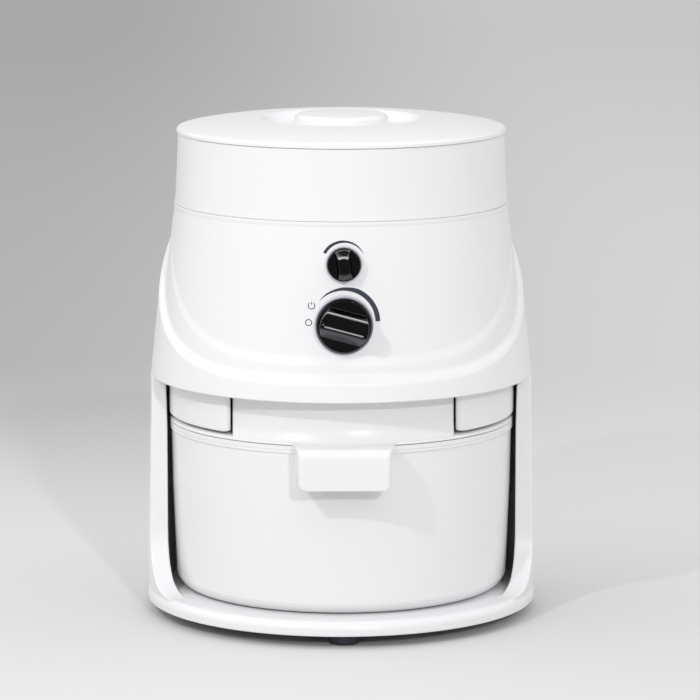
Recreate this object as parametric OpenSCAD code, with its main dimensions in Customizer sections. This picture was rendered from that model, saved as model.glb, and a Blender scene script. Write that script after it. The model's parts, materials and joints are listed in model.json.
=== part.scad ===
// Electric grain mill: hopper on top, impact milling chamber over a vertical
// motor in the housing, and a pull-out flour bowl in the wrap-around frame.
// Millimetres, +Z up, front at -Y, origin on the table at the mill's centre.

/* [Base and frame] */
// Outside diameter of the round base
base_d = 300; // [298:0.5:302]
// Height of the rubber feet
foot_h = 9; // [8:0.5:9]
// Diameter of a rubber foot
foot_d = 25; // [20:1:28]
// Radius on which the feet stand
foot_ring_r = 127.5; // [115:0.5:128]
// Half width of the front opening at its top
bay_half_top = 135.5; // [135:0.1:135.8]
// Half width of the front opening at the tray
bay_half_low = 133.9; // [133:0.1:134.2]
// How far in front of the axis the frame's two posts end
post_front = 22; // [20:1:26]
// Radius of the sweep from the posts down to the tray
sweep_r = 48; // [40:1:50]
// Radius of the lower corners of the front opening
bay_corner_r = 16; // [8:1:18]

/* [Housing] */
// Radius of the housing at its top edge
top_r = 128.2; // [127.8:0.1:128.6]
// Inward slope of the inner front panel
panel_slope = 0.105; // [0.1:0.001:0.11]
// Wall thickness of the housing
wall = 3.5; // [3:0.1:3.8]
// Height of the lower sweep line at the front
sweep_low_z = 201; // [199:0.5:203]
// Height of the upper sweep line at the front
sweep_high_z = 216; // [214:0.5:218]

/* [Hopper] */
// Height of the removable hopper ring
ring_h = 54; // [50:1:56]
// Radius of the central lid knob
lid_knob_r = 35.6; // [30:0.2:37]
// Outer radius of the finger dish in the lid
dish_r = 61.5; // [55:0.5:64]
// Radius of the grain throat
throat_r = 15; // [13:0.5:15]

/* [Controls] */
// Diameter of the feed knob
feed_knob_d = 39.4; // [36:0.2:39.4]
// Height of the feed knob's axis
feed_z = 242.9; // [242.5:0.1:243.4]
// Tilt of the feed knob's grip bar when it is off
feed_rest_tilt = 15; // [0:1:20]
// Diameter of the speed knob
speed_knob_d = 24.7; // [22:0.1:25.5]
// Lean of the speed knob's grip bar at rest
speed_rest_tilt = -7; // [-10:1:0]
// Height of the speed knob's axis
speed_z = 287.8; // [287.3:0.1:288.3]
// Teeth on the feed pinion
pinion_teeth = 22; // [22:1:22]
// Module of the feed rack and pinion
gear_module = 1; // [1:1:1]

/* [Bowl] */
// Outside radius of the bowl's rim
bowl_rim_r = 132.9; // [132.4:0.1:133]
// Wall thickness of the bowl
bowl_wall = 2.6; // [2.2:0.1:3]
// Half width of the bowl's handle
handle_half = 34.5; // [32:0.5:36]
// How far the handle reaches forward of the centre
handle_reach = 157; // [156:0.5:157]

/* [Mill and motor] */
// Radius of the motor shaft
shaft_r = 4; // [4:1:4]
// Radius of the rotor disc
rotor_r = 52; // [50:0.5:53]
// Teeth on the outer ring of the rotor
rotor_teeth = 22; // [16:1:24]
// Radius of the armature
armature_r = 22; // [20:0.5:22]
// Blades on the cooling fan
fan_blades = 9; // [5:1:11]

/* [Hidden] */
$fn = 96;

base_r = base_d / 2;
tray_z = foot_h + 11;        // top of the tray floor
rim_z = tray_z + 165.5;      // lower edge of the housing, top of the frame
seam_z = rim_z + 133;        // seam between housing and hopper ring
ring_top = seam_z + ring_h;  // top edge of the hopper ring
panel_ref = seam_z - 2.5;
module_r = gear_module * pinion_teeth / 2;

function core_r(z) = top_r + panel_slope * (panel_ref - z);
function tier_r(z) = top_r + 0.2 + (panel_slope + 0.014) * (panel_ref - z);
function sweep_high(y) = min(panel_ref - 5, sweep_high_z + 0.0048 * pow(max(0, y + 140), 2));
function sweep_low(y) = min(panel_ref - 13, sweep_low_z + 0.00295 * pow(max(0, y + 140), 2));

// Points of a quarter round, from angle a0 to a1 about a centre
function arc(cx, cy, r, a0, a1, n) = [for (i = [0:n]) let (a = a0 + (a1 - a0) * i / n) [cx + r * cos(a), cy + r * sin(a)]];

module spin(pts) { rotate_extrude($fn = 128) polygon(pts); }
// A cylinder along Y from y0 (rear) to y1 (front, more negative)
module ycyl(x, z, r, y0, y1) { translate([x, y0, z]) rotate([90, 0, 0]) cylinder(r = r, h = y0 - y1); }
// Everything below a sweep line, as a prism along X
module below(kind, drop, x_half = 170) {
  pts = concat([[-170, 100]],
    [for (y = [-170:13:53]) [y, (kind == 2 ? sweep_low(y) : sweep_high(y)) - drop]],
    [[170, (kind == 2 ? sweep_low(170) : sweep_high(170)) - drop], [170, 100]]);
  rotate([90, 0, 90]) translate([0, 0, -x_half]) linear_extrude(2 * x_half) polygon(pts);
}

// ---------- base and frame ----------
// Section of the front opening, with rounded lower corners
module bay_section() {
  c = bay_corner_r;
  polygon(concat([[-bay_half_top, rim_z + 5], [-bay_half_low, tray_z + c]],
    arc(-bay_half_low + c, tray_z + c, c, 180, 270, 6),
    arc(bay_half_low - c, tray_z + c, c, 270, 360, 6),
    [[bay_half_low, tray_z + c], [bay_half_top, rim_z + 5]]));
}
// Everything in front of the posts and above their sweep down to the tray
module front_sweep() {
  translate([-180, 0, 0]) rotate([90, 0, 90]) linear_extrude(360) polygon(concat([[-260, tray_z]],
    arc(-post_front - sweep_r, tray_z + sweep_r, sweep_r, -90, 0, 10), [[-post_front, rim_z + 9], [-260, rim_z + 9]]));
}
module base_frame() {
  color("white") difference() {
    union() {
      spin(concat([[0, foot_h], [base_r - 1.2, foot_h], [base_r, foot_h + 1.5]],
        arc(base_r - 5, tray_z - 5, 5, 0, 90, 5), [[0, tray_z]]));
      difference() {
        spin([[60, tray_z - 4], [base_r, tray_z - 4], [base_r - 2, rim_z], [60, rim_z]]);
        translate([0, 0, tray_z]) cylinder(r = 136, h = 400);
        translate([0, 0, 0]) rotate([90, 0, 0]) linear_extrude(200) bay_section();
        front_sweep();
      }
    }
    // hollow under the tray
    difference() {
      translate([0, 0, foot_h - 1]) cylinder(r = base_r - 3.3, h = 9);
      for (a = [0:90:270]) rotate([0, 0, a]) translate([foot_ring_r, 0, foot_h + 2.5]) cylinder(r = 9, h = 10);
      for (a = [22.5:45:337.5]) rotate([0, 0, a]) translate([24, -1.2, foot_h + 2.5]) cube([112, 2.4, 10]);
      difference() {
        translate([0, 0, foot_h + 2.5]) cylinder(r = 24, h = 10);
        translate([0, 0, foot_h - 2]) cylinder(r = 21.5, h = 20);
      }
    }
    // hollow between the frame's two skins
    difference() {
      spin([[139.5, foot_h + 5], [145.6, foot_h + 5], [144.3, rim_z - 3.5], [139.5, rim_z - 3.5]]);
      translate([-137, -200, 0]) cube([274, 200, 300]);
      translate([-200, -216, 0]) cube([400, 200, 300]);
    }
    for (a = [0:90:270]) rotate([0, 0, a]) translate([foot_ring_r, 0, 0]) cylinder(r = 1.7, h = tray_z - 3.5);
    for (a = [2, 55, 125, 178]) rotate([0, 0, a]) translate([142, 0, rim_z - 10]) cylinder(r = 1.7, h = 20);
  }
}
module bottom_plate() {
  color("dimgray") difference() {
    translate([0, 0, foot_h]) cylinder(r = base_r - 3.6, h = 2.5);
    for (a = [0:90:270]) rotate([0, 0, a]) translate([foot_ring_r, 0, 0]) cylinder(r = 2.2, h = 20);
    for (i = [-4:4]) translate([-30, i * 9 - 1.5, 0]) cube([60, 3, 20]);
  }
}
module rubber_feet() {
  color("darkslategray") for (a = [0:90:270]) rotate([0, 0, a]) translate([foot_ring_r, 0, 0]) difference() {
    rotate_extrude() polygon([[0, 0], [foot_d / 2 - 1.2, 0], [foot_d / 2 - 0.4, 0.8], [foot_d / 2, foot_h - 1], [foot_d / 2, foot_h], [0, foot_h]]);
    translate([0, 0, -1]) cylinder(r = 5, h = 5);
    translate([0, 0, -1]) cylinder(r = 2.2, h = 20);
  }
}
module foot_screws() {
  color("silver") for (a = [0:90:270]) rotate([0, 0, a]) translate([foot_ring_r, 0, 0]) difference() {
    union() {
      translate([0, 0, 1.2]) cylinder(r = 4, h = 2.8);
      translate([0, 0, 3]) cylinder(r = 1.65, h = 12.5);
    }
    translate([-0.5, -3, 0]) cube([1, 6, 2.2]);
    translate([-3, -0.5, 0]) cube([6, 1, 2.2]);
  }
}

// ---------- housing ----------
module housing_shape(inset) {
  spin([[0, rim_z - (inset > 0 ? 5 : 0)], [core_r(rim_z) - inset, rim_z - (inset > 0 ? 5 : 0)],
    [core_r(panel_ref) - inset, panel_ref], [core_r(panel_ref) - inset, panel_ref], [0, panel_ref]]);
}
module outer_tier(inset) {
  spin([[0, rim_z - (inset > 0 ? 5 : 0)], [top_r + 19 - inset, rim_z - (inset > 0 ? 5 : 0)],
    [top_r + 16.3 - inset, rim_z + 27.5], [top_r + 13.7 - inset, rim_z + 52.5],
    [top_r + 11 - inset, rim_z + 80.5], [top_r + 7.4 - inset, rim_z + 104.5],
    [top_r + 3.3 - inset, rim_z + 118.5], [0, rim_z + 118.5]]);
}
module upper_housing() {
  color("white") difference() {
    union() {
      housing_shape(0);
      intersection() {
        spin([[0, rim_z], [tier_r(rim_z), rim_z], [tier_r(panel_ref), panel_ref], [0, panel_ref]]);
        below(1, 0);
      }
      intersection() { outer_tier(0); below(2, 0); }
      spin([[0, panel_ref - 1], [top_r, panel_ref - 1], [top_r + 0.4, seam_z - 0.6], [top_r, seam_z], [0, seam_z]]);
    }
    difference() {
      union() {
        translate([0, 0, rim_z - 5]) cylinder(r1 = core_r(rim_z - 5) - wall, r2 = core_r(panel_ref - 7) - wall, h = seam_z - rim_z - 4.5);
        intersection() { outer_tier(wall); below(2, 6); }
      }
      for (a = [2, 55, 125, 178]) rotate([0, 0, a]) translate([140.6, 0, rim_z - 6]) cylinder(r = 4.5, h = 24);
      for (x = [-22, 22]) {
        ycyl(x, 228, 3.5, -122, -140);
        ycyl(x, 296, 3.5, -122, -140);
      }
    }
    translate([0, 0, seam_z - 10]) cylinder(r = 118, h = 20);
    translate([0, 0, seam_z - 6.5]) cylinder(r = 123.7, h = 20);
    for (a = [2, 55, 125, 178]) rotate([0, 0, a]) translate([142, 0, rim_z - 10]) cylinder(r = 1.5, h = 24);
    ycyl(0, feed_z, 18, -118, -160);
    ycyl(0, speed_z, 8.2, -118, -160);
    ycyl(0, 205, 7.6, 160, 120);
    translate([-40, 100, 222]) cube([80, 60, 40]);
  }
}
module housing_floor() {
  color("whitesmoke") difference() {
    translate([0, 0, rim_z]) cylinder(r = 137.8, h = 3.5);
    translate([0, 88, 0]) cylinder(r = 14.4, h = 400);
    for (s = [-1, 1]) for (i = [0:6]) translate([s * 95 - 12, -30 + i * 10, rim_z - 1]) cube([24, 4, 10]);
    for (s = [-1, 1]) for (y = [-60, 70]) translate([s * 104, y, 0]) cylinder(r = 1.7, h = 400);
    for (a = [2, 55, 125, 178]) rotate([0, 0, a]) translate([140.6, 0, rim_z - 6]) cylinder(r = 4.7, h = 24);
  }
}
module rail(s) {
  color("white") difference() {
    intersection() {
      translate([0, 0, rim_z - 30]) cylinder(r = 133.6, h = 30);
      translate([s > 0 ? 86 : -140, -110, rim_z - 40]) cube([54, 212, 60]);
    }
    intersection() {
      translate([0, 0, rim_z - 27]) cylinder(r = 130.6, h = 40);
      translate([s > 0 ? 89 : -140, -110, rim_z - 40]) cube([51, 209, 60]);
    }
  }
  color("white") for (y = [-60, 70]) translate([s * 104, y, rim_z - 27.5]) difference() {
    cylinder(r = 4.5, h = 27.5);
    translate([0, 0, 12]) cylinder(r = 1.5, h = 30);
  }
}
module left_rail() { union() rail(-1); }
module right_rail() { union() rail(1); }
module housing_screws() {
  color("silver") for (a = [2, 55, 125, 178]) rotate([0, 0, a]) translate([142, 0, rim_z - 6.2]) {
    cylinder(r = 2.2, h = 2.5);
    cylinder(r = 1.45, h = 18);
  }
  color("silver") for (s = [-1, 1]) for (y = [-60, 70]) translate([s * 104, y, 0]) {
    translate([0, 0, rim_z + 3.6]) cylinder(r = 3, h = 2);
    translate([0, 0, rim_z - 12]) cylinder(r = 1.45, h = 16);
  }
}
module rear_grille() {
  color("white") difference() {
    intersection() {
      difference() { outer_tier(0.4); outer_tier(3.4); }
      translate([-39.6, 100, 222.4]) cube([79.2, 60, 39.2]);
    }
    for (i = [0:6]) for (x = [-35.5, -11, 13.5]) translate([x, 100, 226 + i * 5]) cube([22, 60, 2.6]);
  }
}
module cord_gland() {
  color("dimgray") difference() {
    union() {
      difference() {
        translate([0, 0, 205]) rotate([-90, 0, 0]) rotate_extrude() polygon([[0, 140], [11.5, 140], [11.5, 149.5], [8.5, 150.5], [7.6, 156.3], [6.9, 157], [0, 157]]);
        outer_tier(-0.02);
      }
      ycyl(0, 205, 7.4, 150, 130);
    }
    ycyl(0, 205, 3.6, 170, 120);
  }
}
module gland_nut() {
  color("dimgray") translate([0, 0, 205]) rotate([-90, 0, 0]) difference() {
    translate([0, 0, 131]) cylinder(r = 12, h = 4.5, $fn = 6);
    translate([0, 0, 120]) cylinder(r = 7.42, h = 50);
  }
}

// ---------- hopper ----------
module hopper_funnel() {
  color("white") spin([[throat_r, seam_z - 30.2], [throat_r + 2.5, seam_z - 30.2], [throat_r + 2.5, seam_z - 27.5],
    [118, seam_z - 6.5], [123.3, seam_z - 6.5], [123.3, seam_z - 4], [117, seam_z - 4], [throat_r, seam_z - 25]]);
}
module hopper_ring() {
  color("white") spin([[120.6, seam_z - 3.6], [123.2, seam_z - 3.6], [123.2, seam_z + 0.25], [127.6, seam_z + 0.25],
    [top_r - 0.2, seam_z + 0.9], [127.4, seam_z + 6.5], [126.6, seam_z + 19.5], [126, seam_z + 31.5], [125.4, ring_top - 0.8],
    [124.9, ring_top], [122.4, ring_top], [123, seam_z + 31.5], [123.6, seam_z + 19.5], [124, seam_z + 8], [123, seam_z + 3], [120.6, seam_z + 1]]);
}
module hopper_lid() {
  t = ring_top;
  rise = 10.5;  // height of the dome at the edge of the dish
  function dome(r) = t + 3.9 + (rise - 3.9) * (1 - pow((r - dish_r) / (126.3 - dish_r), 2));
  color("white") spin(concat(
    [[0, t + 12.2], [0, t + 15], [lid_knob_r * 0.5, t + 14.8], [lid_knob_r - 4, t + 13.9], [lid_knob_r - 1, t + 13], [lid_knob_r, t + 11.4], [lid_knob_r + 1.4, t + 4]],
    [[lid_knob_r + 4, t + 2], [dish_r - 12, t + 2.4], [dish_r - 4, t + 5.5], [dish_r - 0.8, t + rise - 0.9], [dish_r + 0.8, t + rise]],
    [for (r = [dish_r + 10:12:120]) [r, dome(r)]],
    [[124.2, t + 4.1], [126, t + 3], [126.3, t + 2], [126.3, t + 0.9], [123.6, t + 0.9], [123.6, t + 0.1], [121.9, t + 0.1], [121.9, t - 6.5], [119.4, t - 6.5], [119.4, t + 2.2]],
    [for (r = [115:-12:dish_r + 4]) [r, dome(r) - 2.6]],
    [[dish_r - 1, t + 6.5], [dish_r - 5, t + 2.6], [dish_r - 11, t - 0.4], [lid_knob_r + 2, t - 0.6], [lid_knob_r - 1.6, t + 3.6], [lid_knob_r - 2.8, t + 10.4], [lid_knob_r - 6, t + 11.6]]));
}

// ---------- feed gate, rack and pinion ----------
gate_z0 = seam_z - 32.3;
pitch = PI * gear_module;
rack_z = feed_z + module_r + 0.12;
// One involute flank point at radius r on the pinion's base circle
function inv_a(r, rb) = let (t = sqrt(max(0, pow(r / rb, 2) - 1))) (t * 180 / PI) - atan(t);
module pinion_2d(n, m, slack) {
  rp = n * m / 2; rb = rp * cos(20); ro = rp + 0.9 * m; ri = rp - 1.2 * m;
  half = 90 / n - slack / rp * 90 / PI + inv_a(rp, rb);
  rad = [for (i = [0:4]) rb + (ro - rb) * i / 4];
  polygon([for (k = [0:n - 1]) let (c = 360 * k / n) each concat(
    [[ri * cos(c - half - 1.2), ri * sin(c - half - 1.2)]],
    [for (r = rad) let (a = c - half + inv_a(r, rb)) [r * cos(a), r * sin(a)]],
    [for (i = [4:-1:0]) let (r = rad[i], a = c + half - inv_a(r, rb)) [r * cos(a), r * sin(a)]],
    [[ri * cos(c + half + 1.2), ri * sin(c + half + 1.2)]])]);
}
module feed_pinion() {
  color("gainsboro") translate([0, -112, feed_z]) rotate([90, 0, 0]) difference() {
    union() {
      linear_extrude(6) rotate(90) pinion_2d(pinion_teeth, gear_module, 0.12);
      translate([0, 0, -2]) cylinder(r = 6, h = 8);
    }
    translate([0, 0, -5]) cylinder(r = 3.02, h = 20);
  }
}
module feed_gate() {
  t20 = tan(20);
  w = pitch / 4 - 0.06;      // half width of a rack tooth at the pitch line
  teeth = [for (k = [-12:1]) let (c = (k + 0.5) * pitch) each
    [[c - w - 1.2 * t20, 1.2], [c - w + 0.9 * t20, -0.9], [c + w - 0.9 * t20, -0.9], [c + w + 1.2 * t20, 1.2]]];
  color("gainsboro") {
    translate([0, -112, rack_z]) rotate([90, 0, 0]) linear_extrude(6)
      polygon(concat([[-41, 6.4], [-41, 1.2]], teeth, [[24, 1.2], [24, 6.4]]));
    translate([14, -112.5, rack_z + 1.4]) cube([10, 3.5, gate_z0 + 1.6 - rack_z - 1.4]);
    difference() {
      union() {
        translate([14, -110, gate_z0]) cube([10, 100, 1.6]);
        translate([-48, -19, gate_z0]) cube([72, 38, 1.6]);
      }
      translate([-29.95, 0, gate_z0 - 1]) cylinder(r = throat_r - 0.5, h = 4);
    }
  }
}

// ---------- controls ----------
module panel_cone() { translate([0, 0, 180]) cylinder(r1 = core_r(180) + 0.05, r2 = core_r(330) + 0.05, h = 150); }
module feed_bezel() {
  color("slategray") difference() {
    union() {
      difference() { ycyl(0, feed_z, 21.5, -120, -141.6); panel_cone(); }
      ycyl(0, feed_z, 17.8, -130.5, -139);
    }
    ycyl(0, feed_z, feed_knob_d / 2 + 0.3, -138, -150);
    ycyl(0, feed_z, 3.6, -120, -150);
  }
}
module feed_knob() {
  r = feed_knob_d / 2;
  color("black") difference() {
    translate([0, 0, feed_z]) rotate([0, feed_rest_tilt, 0]) translate([0, 0, -feed_z]) union() {
      ycyl(0, feed_z, r, -138.3, -145.5);
      intersection() {
        ycyl(0, feed_z, r - 0.8, -145, -155.8);
        translate([-30, -160, feed_z - 7.6]) cube([60, 20, 15.2]);
      }
    }
    ycyl(0, feed_z, 3.02, -130, -150.5);
  }
}
module feed_shaft() { color("silver") difference() { ycyl(0, feed_z, 3, -96, -150); translate([-4, -151, feed_z + 2.2]) cube([8, 12, 2]); } }
module power_switch() {
  color("black") difference() {
    union() {
      translate([-10, -106, feed_z - 11]) cube([20, 14, 22]);
      translate([-21, -108, feed_z - 15]) cube([42, 2, 24]);
      for (x = [-17, 17]) ycyl(x, feed_z - 11, 2.6, -107, -119.95);
      for (x = [-6, 0, 6]) translate([x - 2, -92.5, feed_z - 6]) cube([4, 8, 0.9]);
    }
    ycyl(0, feed_z, 3.06, -95.5, -120);
  }
}
module speed_collar() {
  color("lightgray") difference() {
    union() {
      difference() {
        union() {
          ycyl(0, speed_z, 13.9, -120, -134.6);
          intersection() {
            translate([0, -120, speed_z - 6.4]) rotate([90, 45, 0]) translate([-6.2, -6.2, 0]) cube([12.4, 12.4, 13]);
            translate([-20, -140, speed_z - 30]) cube([40, 30, 30]);
          }
        }
        panel_cone();
      }
      ycyl(0, speed_z, 8, -126.5, -133);
    }
    ycyl(0, speed_z, 4.2, -120, -150);
    ycyl(0, speed_z, speed_knob_d / 2 + 0.3, -133.6, -150);
  }
}
module speed_knob() {
  r = speed_knob_d / 2;
  color("black") difference() {
    translate([0, 0, speed_z]) rotate([0, speed_rest_tilt, 0]) translate([0, 0, -speed_z]) union() {
      ycyl(0, speed_z, r, -133.9, -138.5);
      intersection() {
        ycyl(0, speed_z, r - 0.5, -138, -146);
        translate([-5.1, -150, speed_z - 20]) cube([10.2, 20, 40]);
      }
    }
    ycyl(0, speed_z, 2.52, -120, -141.5);
  }
}
module speed_shaft() { color("silver") difference() { ycyl(0, speed_z, 2.5, -113, -141); translate([-4, -142, speed_z + 1.7]) cube([8, 10, 2]); } }
module speed_pot() {
  color("dimgray") difference() {
    union() {
      ycyl(0, speed_z, 8.5, -110, -120);
      ycyl(0, speed_z, 3.4, -119, -126);
      for (x = [-5, 0, 5]) translate([x - 1, -116, speed_z - 14]) cube([2, 0.8, 7]);
    }
    ycyl(0, speed_z, 2.56, -112.5, -130);
  }
}
module control_bracket() {
  color("silver") difference() {
    union() {
      translate([-28, -122, 222]) cube([56, 2, 80]);
      translate([-28, -120.5, rack_z + 6.6]) cube([56, 7.5, 2]);
    }
    ycyl(0, feed_z, 3.06, -110, -130);
    ycyl(0, speed_z, 3.5, -110, -130);
    for (x = [-22, 22]) { ycyl(x, 228, 1.7, -110, -130); ycyl(x, 296, 1.7, -110, -130); }
  }
}
module circuit_board() {
  color("darkgreen") translate([-112, -35, 193]) cube([2, 70, 60]);
  color("darkgreen") translate([-112, -30, 189]) { cube([2, 8, 4.5]); translate([0, 52, 0]) cube([2, 8, 4.5]); }
  color("black") {
    translate([-110.5, -28, 200]) rotate([0, 90, 0]) cylinder(r = 6, h = 14);
    translate([-110.5, -10, 198]) rotate([0, 90, 0]) cylinder(r = 4, h = 11);
    translate([-110.5, -32, 230]) cube([12, 18, 14]);
    translate([-110.5, -8, 236]) cube([6, 9, 12]);
  }
}
module heat_sink() {
  color("silver") difference() {
    translate([-109.9, 8, 200]) cube([20, 22, 44]);
    for (i = [0:4]) translate([-106.5, 10.2 + i * 4, 190]) cube([30, 2.2, 60]);
  }
}

// ---------- milling chamber ----------
ch = seam_z - 59.5;          // underside of the chamber
module chamber_base() {
  color("silver") difference() {
    union() {
      translate([0, 0, ch]) cylinder(r = 66, h = 20);
    }
    difference() {
      translate([0, 0, ch + 3]) cylinder(r = 61, h = 30);
      cylinder(r = 14, h = ch + 8.8);
    }
    translate([0, 0, ch - 1]) cylinder(r = 5, h = 20);
    translate([0, 0, ch + 1]) cylinder(r = 11.02, h = 20);
    translate([-12, 40, ch + 5]) cube([24, 40, 12]);
    for (a = [45:90:315]) rotate([0, 0, a]) translate([63.5, 0, ch + 8]) cylinder(r = 1.4, h = 30);
  }
}
module chamber_gasket() {
  color("black") difference() {
    translate([0, 0, ch + 20]) cylinder(r = 65.8, h = 0.6);
    cylinder(r = 61.2, h = 400);
    for (a = [45:90:315]) rotate([0, 0, a]) translate([63.5, 0, 0]) cylinder(r = 1.6, h = 400);
  }
}
// A ring of square teeth: n teeth between two radii
module tooth_ring(n, r0, r1, z, h, w) {
  for (i = [0:n - 1]) rotate([0, 0, 360 * i / n]) translate([r0, -w / 2, z]) cube([r1 - r0, w, h]);
}
module stator_head() {
  color("lightsteelblue") difference() {
    union() {
      translate([0, 0, ch + 20.6]) cylinder(r = 65.8, h = 3);
      tooth_ring(10, 19, 22, ch + 14.4, 6.4, 3);
      tooth_ring(14, 29, 32.2, ch + 14.4, 6.4, 3.4);
      tooth_ring(20, 41, 44.2, ch + 14.4, 6.4, 3.6);
      tooth_ring(28, 54, 57.2, ch + 14.4, 6.4, 3.6);
    }
    cylinder(r = throat_r - 1, h = 400);
    for (a = [45:90:315]) rotate([0, 0, a]) translate([63.5, 0, 0]) cylinder(r = 1.6, h = 400);
  }
}
module chamber_cover() {
  color("silver") difference() {
    union() {
      translate([0, 0, ch + 23.6]) cylinder(r = 66, h = 2.4);
      translate([-50, 19.4, ch + 25]) cube([106, 3, 5.2]);
      translate([-50, 18.2, ch + 29]) cube([106, 4.2, 1.2]);
      translate([-50, -22.4, ch + 25]) cube([62, 3, 5.2]);
      translate([-50, -22.4, ch + 29]) cube([62, 4.2, 1.2]);
    }
    cylinder(r = throat_r, h = 400);
    for (a = [45:90:315]) rotate([0, 0, a]) translate([63.5, 0, 0]) { cylinder(r = 1.6, h = 400); translate([0, 0, ch + 24.2]) cylinder(r = 2.4, h = 400); }
  }
}
module chamber_screws() {
  color("gray") for (a = [45:90:315]) rotate([0, 0, a]) translate([63.5, 0, ch + 10]) difference() {
    union() { cylinder(r = 1.35, h = 15); translate([0, 0, 14.25]) cylinder(r = 2.3, h = 1.7); }
    translate([-0.4, -3, 15]) cube([0.8, 6, 3]);
  }
}
module rotor_head() {
  color("lightsteelblue") difference() {
    union() {
      translate([0, 0, ch + 10]) cylinder(r = rotor_r, h = 3);
      translate([0, 0, ch + 9]) cylinder(r = 9, h = 5);
      tooth_ring(8, 24.4, 27, ch + 12.6, 6.6, 3);
      tooth_ring(16, 35, 38.4, ch + 12.6, 6.6, 3.4);
      tooth_ring(rotor_teeth, rotor_r - 4.6, rotor_r - 0.4, ch + 12.6, 6.6, 3.6);
    }
    cylinder(r = shaft_r + 0.01, h = 400);
  }
}
module rotor_nut() {
  color("gray") difference() {
    translate([0, 0, ch + 14]) cylinder(r = 7, h = 4.2, $fn = 6);
    cylinder(r = shaft_r + 0.01, h = 400);
  }
}

// ---------- motor ----------
mz = rim_z + 3.5;            // top of the housing floor
module motor_shaft() { color("silver") translate([0, 0, mz + 3]) cylinder(r = shaft_r, h = ch + 19 - mz - 3); }
module armature_core() {
  color("dimgray") difference() {
    translate([0, 0, mz + 30]) cylinder(r = armature_r, h = 22);
    cylinder(r = shaft_r + 0.01, h = 400);
    for (i = [0:11]) rotate([0, 0, i * 30]) { translate([17, -0.8, 180]) cube([10, 1.6, 100]); translate([15.5, 0, 180]) cylinder(r = 2.4, h = 100); }
  }
}
module armature_windings() {
  color("peru") difference() {
    union() {
      translate([0, 0, mz + 24]) rotate_extrude() polygon([[0, 0], [13, 0], [18.6, 2], [19.6, 6], [0, 6]]);
      translate([0, 0, mz + 52]) rotate_extrude() polygon([[0, 0], [19.6, 0], [18.6, 4], [13, 6.4], [0, 6.4]]);
      for (i = [0:11]) rotate([0, 0, i * 30]) translate([15.5, 0, mz + 29]) cylinder(r = 2.3, h = 24);
    }
    cylinder(r = shaft_r + 0.01, h = 400);
  }
}
module commutator() {
  color("peru") difference() {
    translate([0, 0, mz + 12]) cylinder(r = 13, h = 11);
    cylinder(r = shaft_r + 0.01, h = 400);
    for (i = [0:23]) rotate([0, 0, i * 15 + 7.5]) translate([11, -0.3, 180]) cube([5, 0.6, 100]);
  }
}
module cooling_fan() {
  color("gainsboro") difference() {
    union() {
      translate([0, 0, mz + 59.5]) cylinder(r = 38, h = 1.5);
      translate([0, 0, mz + 59.5]) cylinder(r = 10, h = 8);
      for (i = [0:fan_blades - 1]) rotate([0, 0, i * 360 / fan_blades]) translate([9, -0.8, mz + 60.5]) rotate([0, 0, 12]) cube([27, 1.6, 6.5]);
    }
    cylinder(r = shaft_r + 0.01, h = 400);
  }
}
module field_core() {
  color("slategray") difference() {
    union() {
      difference() { translate([0, 0, mz + 30]) cylinder(r = 45.9, h = 22); cylinder(r = 38, h = 400); }
      intersection() {
        translate([0, 0, mz + 30]) cylinder(r = 40, h = 22);
        union() { translate([-18, -60, 0]) cube([36, 120, 400]); }
      }
      intersection() {
        translate([0, 0, mz + 30]) cylinder(r = 26, h = 22);
        translate([-21, -60, 0]) cube([42, 120, 400]);
      }
    }
    cylinder(r = armature_r + 0.6, h = 400);
  }
}
module field_windings() {
  color("peru") for (s = [0, 180]) rotate([0, 0, s]) difference() {
    intersection() {
      difference() { translate([0, 0, mz + 24.5]) cylinder(r = 37.7, h = 33); cylinder(r = 26.6, h = 400); }
      translate([-28, 9, 0]) cube([56, 60, 400]);
    }
    translate([-18.4, 0, mz + 29.6]) cube([36.8, 60, 22.8]);
  }
}
module bearing(z) {
  color("lightsteelblue") translate([0, 0, z]) difference() {
    cylinder(r = 11, h = 7);
    translate([0, 0, -1]) cylinder(r = shaft_r + 0.05, h = 10);
    for (k = [-1, 6.4]) translate([0, 0, k]) difference() { cylinder(r = 9, h = 1.6); translate([0, 0, -1]) cylinder(r = 6.4, h = 4); }
  }
}
module upper_bearing() { bearing(ch + 1); }
module lower_bearing() { bearing(mz + 3.2); }
module motor_end_frame() {
  color("silver") difference() {
    union() {
      translate([-44.7, -10, mz + 4]) cube([89.4, 20, 3]);
      translate([0, 0, mz + 1.4]) cylinder(r = 14, h = 9);
      for (s = [0, 180]) rotate([0, 0, s]) translate([18, -6.4, mz + 6]) cube([24, 12.8, 4.9]);
    }
    translate([0, 0, mz + 3.2]) cylinder(r = 11.02, h = 20);
    cylinder(r = 6, h = 400);
  }
}
module brush_holders() {
  color("goldenrod") for (s = [0, 180]) rotate([0, 0, s]) difference() {
    translate([16, -6, mz + 11]) cube([24, 12, 12.4]);
    translate([10, -4.1, mz + 13.1]) cube([27, 8.2, 8.2]);
  }
}
module carbon_brushes() {
  color("black") for (s = [0, 180]) rotate([0, 0, s]) difference() {
    translate([13.1, -4, mz + 13.2]) cube([16, 8, 8]);
    cylinder(r = 13.15, h = 400);
  }
}
module brush_springs() {
  color("silver") for (s = [0, 180]) rotate([0, 0, s]) translate([29.3, 0, mz + 17.2]) rotate([0, 90, 0])
    linear_extrude(height = 7.5, twist = -1440, slices = 72, $fn = 6) translate([2.6, 0]) circle(r = 0.45, $fn = 6);
}
module motor_shroud() {
  color("whitesmoke") difference() {
    union() {
      translate([0, 0, mz + 4]) cylinder(r = 48.2, h = ch - mz - 4);
      translate([0, 0, mz + 4]) cylinder(r = 61, h = 3);
    }
    translate([0, 0, mz]) cylinder(r = 46, h = 200);
    for (a = [0:60:300]) rotate([0, 0, a]) translate([40, -9, mz + 59]) cube([20, 18, 8]);
  }
}
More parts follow.
